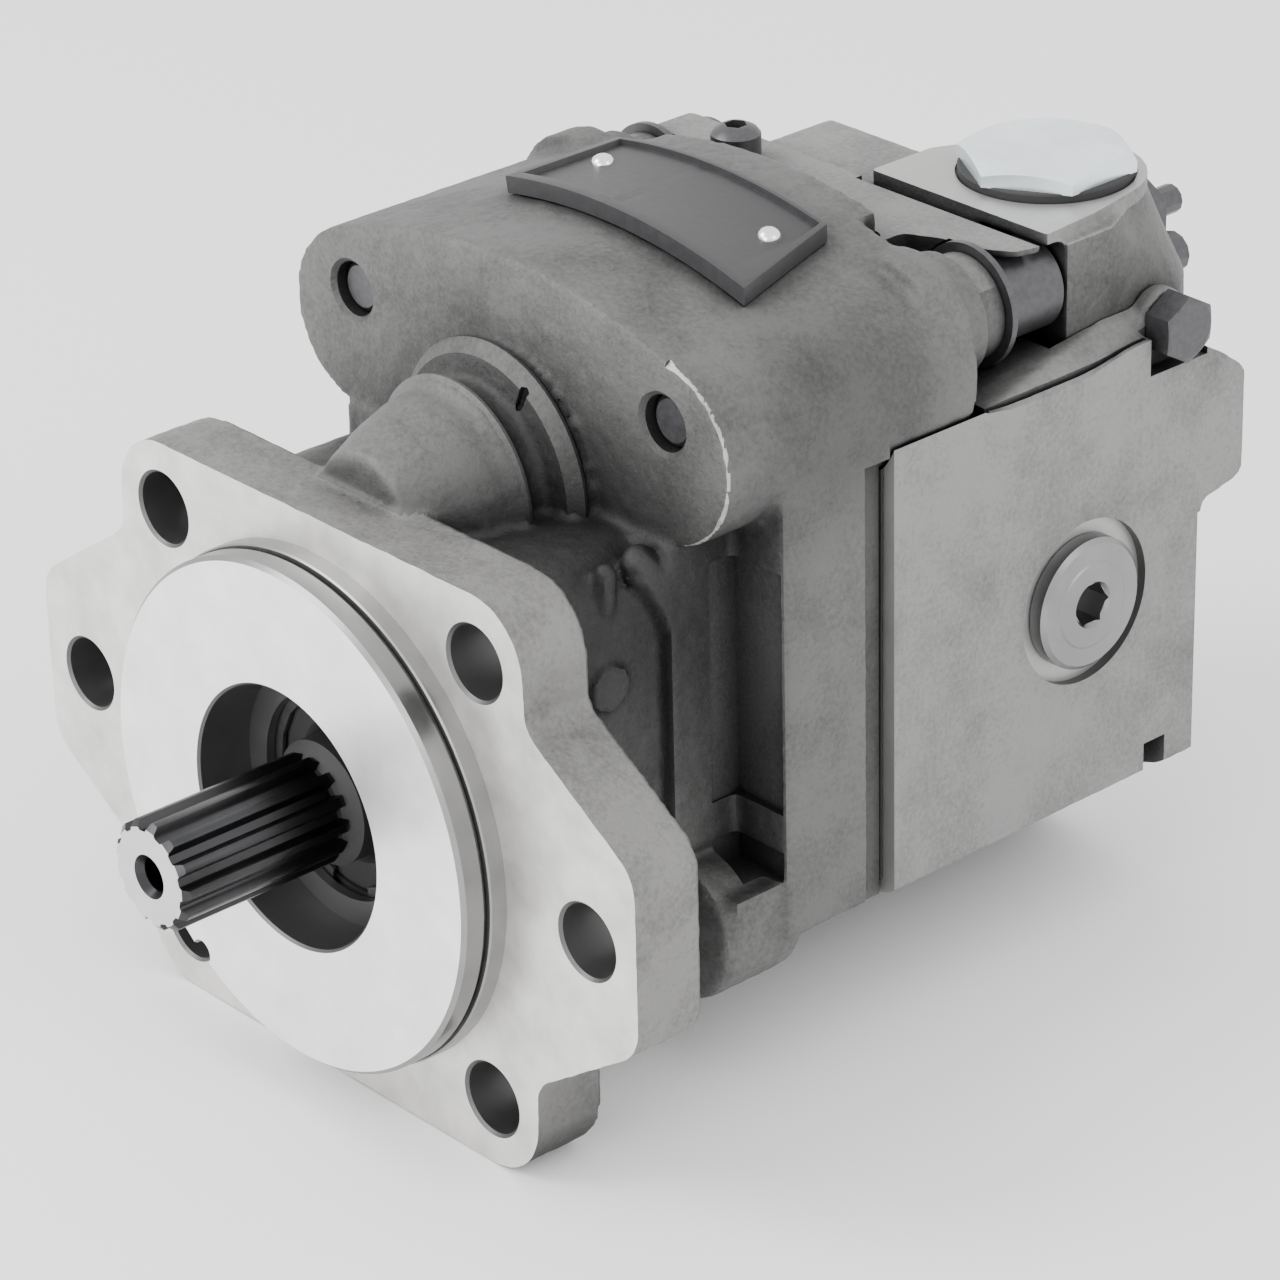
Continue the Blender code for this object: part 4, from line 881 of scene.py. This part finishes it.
def build_control():
    notch = [(33, 142), (52.4, 142), (52.4, 154)]
    lip = [(42, 137.6), (51.2, 137.6), (50, 152)]
    levels = ((62.3, notch, 27), (67, notch, 27), (77, notch, 22.5), (85.3, notch, 19.2), (85.5, lip, 19.5),
              (91, lip, 19.5))
    body = mesh_object("control_casting",
                       [stacked([(z, control_plan(corner, radius)) for z, corner, radius in levels])])
    cast_skin(body, 0.6, 3)
    roughen(body, 0.08, 2.2)
    spool = [(0, 200), (7.3, 200), (7.3, 168), (4.4, 168), (4.4, 141), (0, 141)]
    socket = [(0, 95), (17.6, 95), (17.6, 87.2), (11.3, 87.2), (11.3, 79), (0, 79)]
    cut(body, box((-20, 120, 88), (80, 200, 100)), lathe(spool, "Y", SPOOL_AT),
        lathe(socket, "Z", CAP_AT),
        rod(2.55, 130, 200, at=(SCREWS[0], 65.2)), rod(2.55, 130, 200, at=(SCREWS[1], 65.2)))
    give(body, CAST_REAR, MILLED, BORE, CAST)
    # Painted shade: the walls below the top slab and the front face get the darker front cast.
    paint_faces(body, 3, lambda centre, normal: centre.z < 85.0 or centre.y < 137.9)
    paint_faces(body, 1, lambda centre, normal: centre.z > 87.9 and normal.z > 0.95)
    paint_faces(body, 2, lambda centre, normal: math.hypot(centre.x - CAP_AT[0], centre.y - CAP_AT[1]) < 17.7
                and 78 < centre.z < 87.9)
    shade(body)
    settle(body, "housing", "control_iron", "control_valve_body")


# ---------------------------------------------------------------- fittings

def chamfered_hex(flats, start, end, axis, at, chamfer):
    """Hexagon whose corners are turned off at the end."""
    corner = flats / math.sqrt(3)
    turned = [(0, start), (corner + 1, start), (corner + 1, end - chamfer), (corner - chamfer * 1.6, end),
              (0, end)]
    hexed = mesh_object("hex", [prism(hexagon(flats, at), start, end, axis)])
    combine(hexed, [lathe(turned, axis, at)], "INTERSECT")
    return object_shape(hexed)


def finished(obj, finish, body, slot, *nodes):
    give(obj, finish)
    shade(obj)
    settle(obj, body, slot, *nodes)
    return obj


def build_fittings():
    for side, name in ((1, "side_plug_right"), (-1, "side_plug_left")):
        face = [(0, 62.2), (8.6, 62.2), (9.0, 61.95), (12.6, 61.95), (13.5, 61.1), (13.5, 58.3), (9.4, 58.3),
                (9.4, 47), (0, 47)]
        sided = [(radius, side * along) for radius, along in face]
        plug = mesh_object("visual_" + name, [lathe(sided, "X", (PLUG_Y, PLUG_Z), 96)])
        low, high = sorted((side * 55.5, side * 64))
        cut(plug, prism(hexagon(8, (PLUG_Y, PLUG_Z), 0), low, high, "X"),
            lathe([(0, side * 61.4), (4.2, side * 61.4), (5.1, side * 62.6), (0, side * 62.6)], "X",
                  (PLUG_Y, PLUG_Z), 64))
        finished(plug, ZINC_DULL, "housing", "zinc_steel", name)
    cap = mesh_object("visual_control_cap", [chamfered_hex(31, 89.5, 92.9, "Z", CAP_AT, 1.7)])
    join(cap, rod(17.2, 87.4, 89.7, "Z", CAP_AT, 96, 0.3), rod(11, 80, 88.5, "Z", CAP_AT))
    give(cap, CAP_ZINC, RUBBER)
    paint_faces(cap, 1, lambda centre, normal: centre.z < 89.75)
    shade(cap)
    settle(cap, "housing", "zinc_steel", "control_cap")
    gauge = mesh_object("visual_gauge_plug", [chamfered_hex(12, 56.7, 62.7, "X", GAUGE_AT, 0.8)])
    join(gauge, rod(4, 53.2, 57.5, "X", GAUGE_AT))
    finished(gauge, DARK_STEEL, "housing", "dark_steel", "gauge_plug")
    vent = [(0, 88.3), (5, 88.3), (5, 92.6), (4.2, 93.6), (2.6, 94.4), (0, 94.5)]
    vent_plug = mesh_object("visual_vent_plug", [lathe(vent, "Z", (-20, 124.5), 48)])
    cut(vent_plug, prism(hexagon(4, (-20, 124.5)), 92.5, 96, "Z"))
    finished(vent_plug, DARK_STEEL, "housing", "dark_steel", "vent_plug")


def build_name_plate():
    """Curved black plate with a raised front ridge and rim; it carries no lettering."""
    centre_z = arch_centre_z()
    inner = 96.3 - centre_z
    sheet = arc((0, centre_z), inner + 3.4, 72.5, 100.5, 48) + arc((0, centre_z), inner, 100.5, 72.5, 48)
    plate = mesh_object("visual_name_plate", [prism(sheet, 70.5, 98.8)])
    tray = arc((0, centre_z), inner + 6, 73.3, 99.7, 48) + arc((0, centre_z), inner + 2.2, 99.7, 73.3, 48)
    recess = mesh_object("recess", [prism(tray, 73.2, 97.8)])
    for solid, inset in ((recess, 1.2), (plate, 0)):
        slant = [(42.9 - inset, 60), (32.0 - inset, 99.8), (60, 99.8), (60, 60)]
        cut(solid, prism(slant, 70, 110, "Z"))
    cut(plate, object_shape(recess))
    bevel = plate.modifiers.new("edge", "BEVEL")
    bevel.width = 0.5 * MM
    bevel.segments = 3
    bevel.limit_method = "ANGLE"
    apply_modifiers(plate)
    finished(plate, LABEL, "housing", "label_black", "name_plate")
    for number, angle in ((1, 78.3), (2, 97.2)):
        turn = Matrix.Translation((0, 87.8, centre_z)) @ Matrix.Rotation(math.radians(90 - angle), 4, "Y")
        top = inner + 2.2
        dome = [(0, top + 1.7), (0.9, top + 1.6), (1.7, top + 1.2), (2.2, top + 0.5), (2.3, top), (0, top)]
        rivet = mesh_object(f"visual_rivet_{number}", [moved(lathe(dome, "Z", (0, 0), 32), turn)])
        finished(rivet, ZINC, "housing", "zinc_steel", f"name_plate_rivet_{number}")


def build_shaft():
    profile = [(0, 153), (9.4, 153), (10, 152.4), (10, 136.5), (12, 136.5), (12, 104), (13, 104), (13, 40),
               (17.5, 40), (17.5, 34.3), (15, 34.3), (15, 15), (12.4, 14.4), (12.4, -1), (10.9, -2.2),
               (9.3, -3.6), (9.0, -5), (9.0, -38), (0, -38)]
    shaft = mesh_object("visual_drive_shaft", [lathe(profile, "Y", (0, 0), 96)])
    teeth = []
    for i in range(13):
        for share, radius in ((-0.33, 9.15), (-0.27, 9.5), (-0.19, 10.55), (-0.16, 10.85), (-0.08, 10.95),
                              (0.08, 10.95), (0.16, 10.85), (0.19, 10.55), (0.27, 9.5), (0.33, 9.15)):
            angle = 2 * math.pi * (i + share) / 13
            teeth.append((radius * math.cos(angle), radius * math.sin(angle)))
    spline = mesh_object("spline", [prism(teeth, -41.2, 1.0)])
    turned = [(0, -41.2), (9.7, -41.2), (11.2, -39.9), (11.2, -4.5), (9.2, -0.8), (9.2, 0.5), (0, 0.5)]
    combine(spline, [lathe(turned, "Y", (0, 0), 96)], "INTERSECT")
    join(shaft, object_shape(spline))
    centre_hole = [(0, -27), (3.4, -30), (3.4, -39.6), (4.4, -41.3), (4.4, -43), (0, -43)]
    cut(shaft, lathe(centre_hole, "Y", (0, 0), 64))
    give(shaft, SHAFT_STEEL, GROUND_STEEL, RUBBER)
    # Painted shade: the part of the shaft inside the front recess gets the black rubber finish.
    paint_faces(shaft, 2, lambda centre, normal: centre.y > -4.9 and centre.y < 14.9)
    paint_faces(shaft, 1, lambda centre, normal: centre.y < -41.0 and normal.y < -0.9)
    shade(shaft, 25)
    settle(shaft, "shaft", "shaft_steel", "drive_shaft")


def build_upper_bolts():
    for number, side in ((1, -1), (2, 1)):
        top = BOLT_SEAT + 17.7
        profile = [(0, top), (8.4, top), (9.2, top - 0.8), (9.2, BOLT_SEAT + 2), (11.6, BOLT_SEAT + 2),
                   (12.3, BOLT_SEAT + 1.4), (12.3, BOLT_SEAT), (5, BOLT_SEAT), (5, 49.8), (4.2, 49), (0, 49)]
        bolt = mesh_object(f"visual_housing_bolt_{number}",
                           [lathe(profile, "Y", (side * BOLT_X, BOLT_Z), 96)])
        cut(bolt, prism(hexagon(8, (side * BOLT_X, BOLT_Z)), top - 5, top + 2))
        finished(bolt, DARK_STEEL, "housing", "dark_steel", f"housing_bolt_{number}")


def build_seal():
    lip = [(20.5, 15.6), (20.5, 6.5), (20.1, 6.1), (14.6, 6.1), (13.4, 6.9), (12.75, 8.2), (13.3, 9.6),
           (16.6, 10.6), (17.5, 12), (17.5, 15.6)]
    seal = mesh_object("visual_shaft_seal", [lathe(lip, "Y", (0, 0), 96)])
    finished(seal, RUBBER, "housing", "rubber", "shaft_seal")


CARRIED = {
    "adjuster_screw": DARK_STEEL, "adjuster_nut": DARK_STEEL, "seal_snap_ring": DARK_STEEL,
    "front_bearing_inner": GROUND_STEEL, "front_bearing_rollers": GROUND_STEEL,
    "front_bearing_outer": GROUND_STEEL, "rear_bearing": GROUND_STEEL, "swashplate": GROUND_STEEL,
    "cradle_bearing_left": BRONZE, "cradle_bearing_right": BRONZE, "retainer_plate": SPRING,
    "ball_guide": GROUND_STEEL, "cylinder_barrel": GROUND_STEEL, "barrel_spring": SPRING,
    "barrel_spring_ring": SPRING, "valve_plate": BRONZE, "control_piston": GROUND_STEEL,
    "bias_spring_seat": GROUND_STEEL, "compensator_spool": GROUND_STEEL, "housing_gasket": RUBBER,
    "control_screw_1": DARK_STEEL, "control_screw_2": DARK_STEEL,
}


def dress_carried_nodes():
    for number in (3, 4):
        CARRIED[f"housing_bolt_{number}"] = DARK_STEEL
    for number in range(1, 10):
        CARRIED[f"piston_{number}"] = GROUND_STEEL
        CARRIED[f"slipper_{number}"] = BRONZE
    for name, finish in CARRIED.items():
        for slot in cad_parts[name].material_slots:
            slot.material = finish


def coil_shape(radius, wire, turns, start, end, at):
    """Round wire wound about Y between two ends."""
    bm = bmesh.new()
    per_turn, around = 28, 10
    rings = []
    for i in range(turns * per_turn + 1):
        turn = 2 * math.pi * i / per_turn
        out = Vector((math.cos(turn), 0, math.sin(turn)))
        rise = (end - start - 2 * wire) * i / (turns * per_turn)
        centre = Vector((at[0], start + wire + rise, at[1])) + radius * out
        ring = []
        for k in range(around):
            angle = 2 * math.pi * k / around
            along = Vector((0, math.sin(angle), 0))
            ring.append(bm.verts.new(centre + wire * (math.cos(angle) * out + along)))
        rings.append(ring)
    bm.faces.new(rings[0])
    bm.faces.new(rings[-1])
    for near, far in zip(rings, rings[1:]):
        for k in range(around):
            after = (k + 1) % around
            bm.faces.new((near[k], near[after], far[after], far[k]))
    bmesh.ops.recalc_face_normals(bm, faces=bm.faces)
    return bm


def build_springs():
    """The two springs, as coils of even pitch between the ends of their parts."""
    rows = (("bias_spring", "bias_stroke", 9.6, 7, (0, BIAS_Z), 14.5, "low"),
            ("spool_spring", "spool_stroke", 2.9, 5, SPOOL_AT, 1.8, "high"))
    for name, joint, radius, turns, at, stroke, fixed in rows:
        low, high = (corner[1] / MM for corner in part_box(name))
        wire = (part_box(name)[1][0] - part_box(name)[0][0]) / MM / 2 - radius
        spring = mesh_object("visual_" + name, [coil_shape(radius, wire, turns, low, high, at)])
        finished(spring, SPRING, "housing", "spring_steel", name)
        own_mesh(spring)


# ---------------------------------------------------------------- studio

def build_studio():
    floor_z = cad_box[0][2] - 0.0002
    floor = bpy.data.objects.new("floor", bpy.data.meshes.new("floor"))
    bm = bmesh.new()
    bmesh.ops.create_grid(bm, x_segments=1, y_segments=1, size=6.0)
    bm.to_mesh(floor.data)
    bm.free()
    floor.location = (0, 0, floor_z)
    bpy.context.scene.collection.objects.link(floor)
    pale = bpy.data.materials.new("pale_floor")
    pale.use_nodes = True
    pale.node_tree.nodes["Principled BSDF"].inputs["Base Color"].default_value = (0.92, 0.92, 0.92, 1)
    pale.node_tree.nodes["Principled BSDF"].inputs["Roughness"].default_value = 0.9
    floor.data.materials.append(pale)
    world = bpy.data.worlds.new("studio")
    world.use_nodes = True
    world.node_tree.nodes["Background"].inputs["Color"].default_value = (1, 1, 1, 1)
    world.node_tree.nodes["Background"].inputs["Strength"].default_value = 1.75
    bpy.context.scene.world = world
    add_light("key", (-0.60, -0.75, 0.85), 0.7, 12.0)
    add_light("front", (0.20, -1.3, 0.35), 0.9, 12.0)
    add_light("right", (1.3, 0.35, 0.75), 0.7, 4.0)


def add_light(name, position, size, power):
    lamp = bpy.data.lights.new(name, "AREA")
    lamp.shape = "SQUARE"
    lamp.size = size
    lamp.energy = power
    obj = bpy.data.objects.new(name, lamp)
    target = Vector((0, 0.07, 0.01))
    obj.location = position
    obj.rotation_euler = (target - Vector(position)).to_track_quat("-Z", "Y").to_euler()
    bpy.context.scene.collection.objects.link(obj)


def build_camera():
    azimuth, elevation, roll = (math.radians(turn) for turn in CAMERA_TURNS)
    to_right, to_top, to_back = CAMERA_OFFSETS
    back = Vector((math.sin(azimuth) * math.cos(elevation), -math.cos(azimuth) * math.cos(elevation),
                   math.sin(elevation)))
    right = Vector((math.cos(azimuth), math.sin(azimuth), 0))
    up = back.cross(right)
    rolled_right = math.cos(roll) * right + math.sin(roll) * up
    rolled_up = math.cos(roll) * up - math.sin(roll) * right
    place_at = (to_back * back + to_right * rolled_right + to_top * rolled_up) * MM
    lens = bpy.data.cameras.new("camera")
    lens.lens = CAMERA_LENS
    lens.sensor_width = 36
    lens.clip_start = 0.05
    camera = bpy.data.objects.new("camera", lens)
    turn = Matrix((rolled_right, rolled_up, back)).transposed().to_4x4()
    camera.matrix_world = Matrix.Translation(place_at) @ turn
    bpy.context.scene.collection.objects.link(camera)
    bpy.context.scene.camera = camera


build_housing()
build_block()
build_control()
build_fittings()
build_name_plate()
build_shaft()
build_upper_bolts()
build_seal()
build_springs()
dress_carried_nodes()
build_studio()
build_camera()
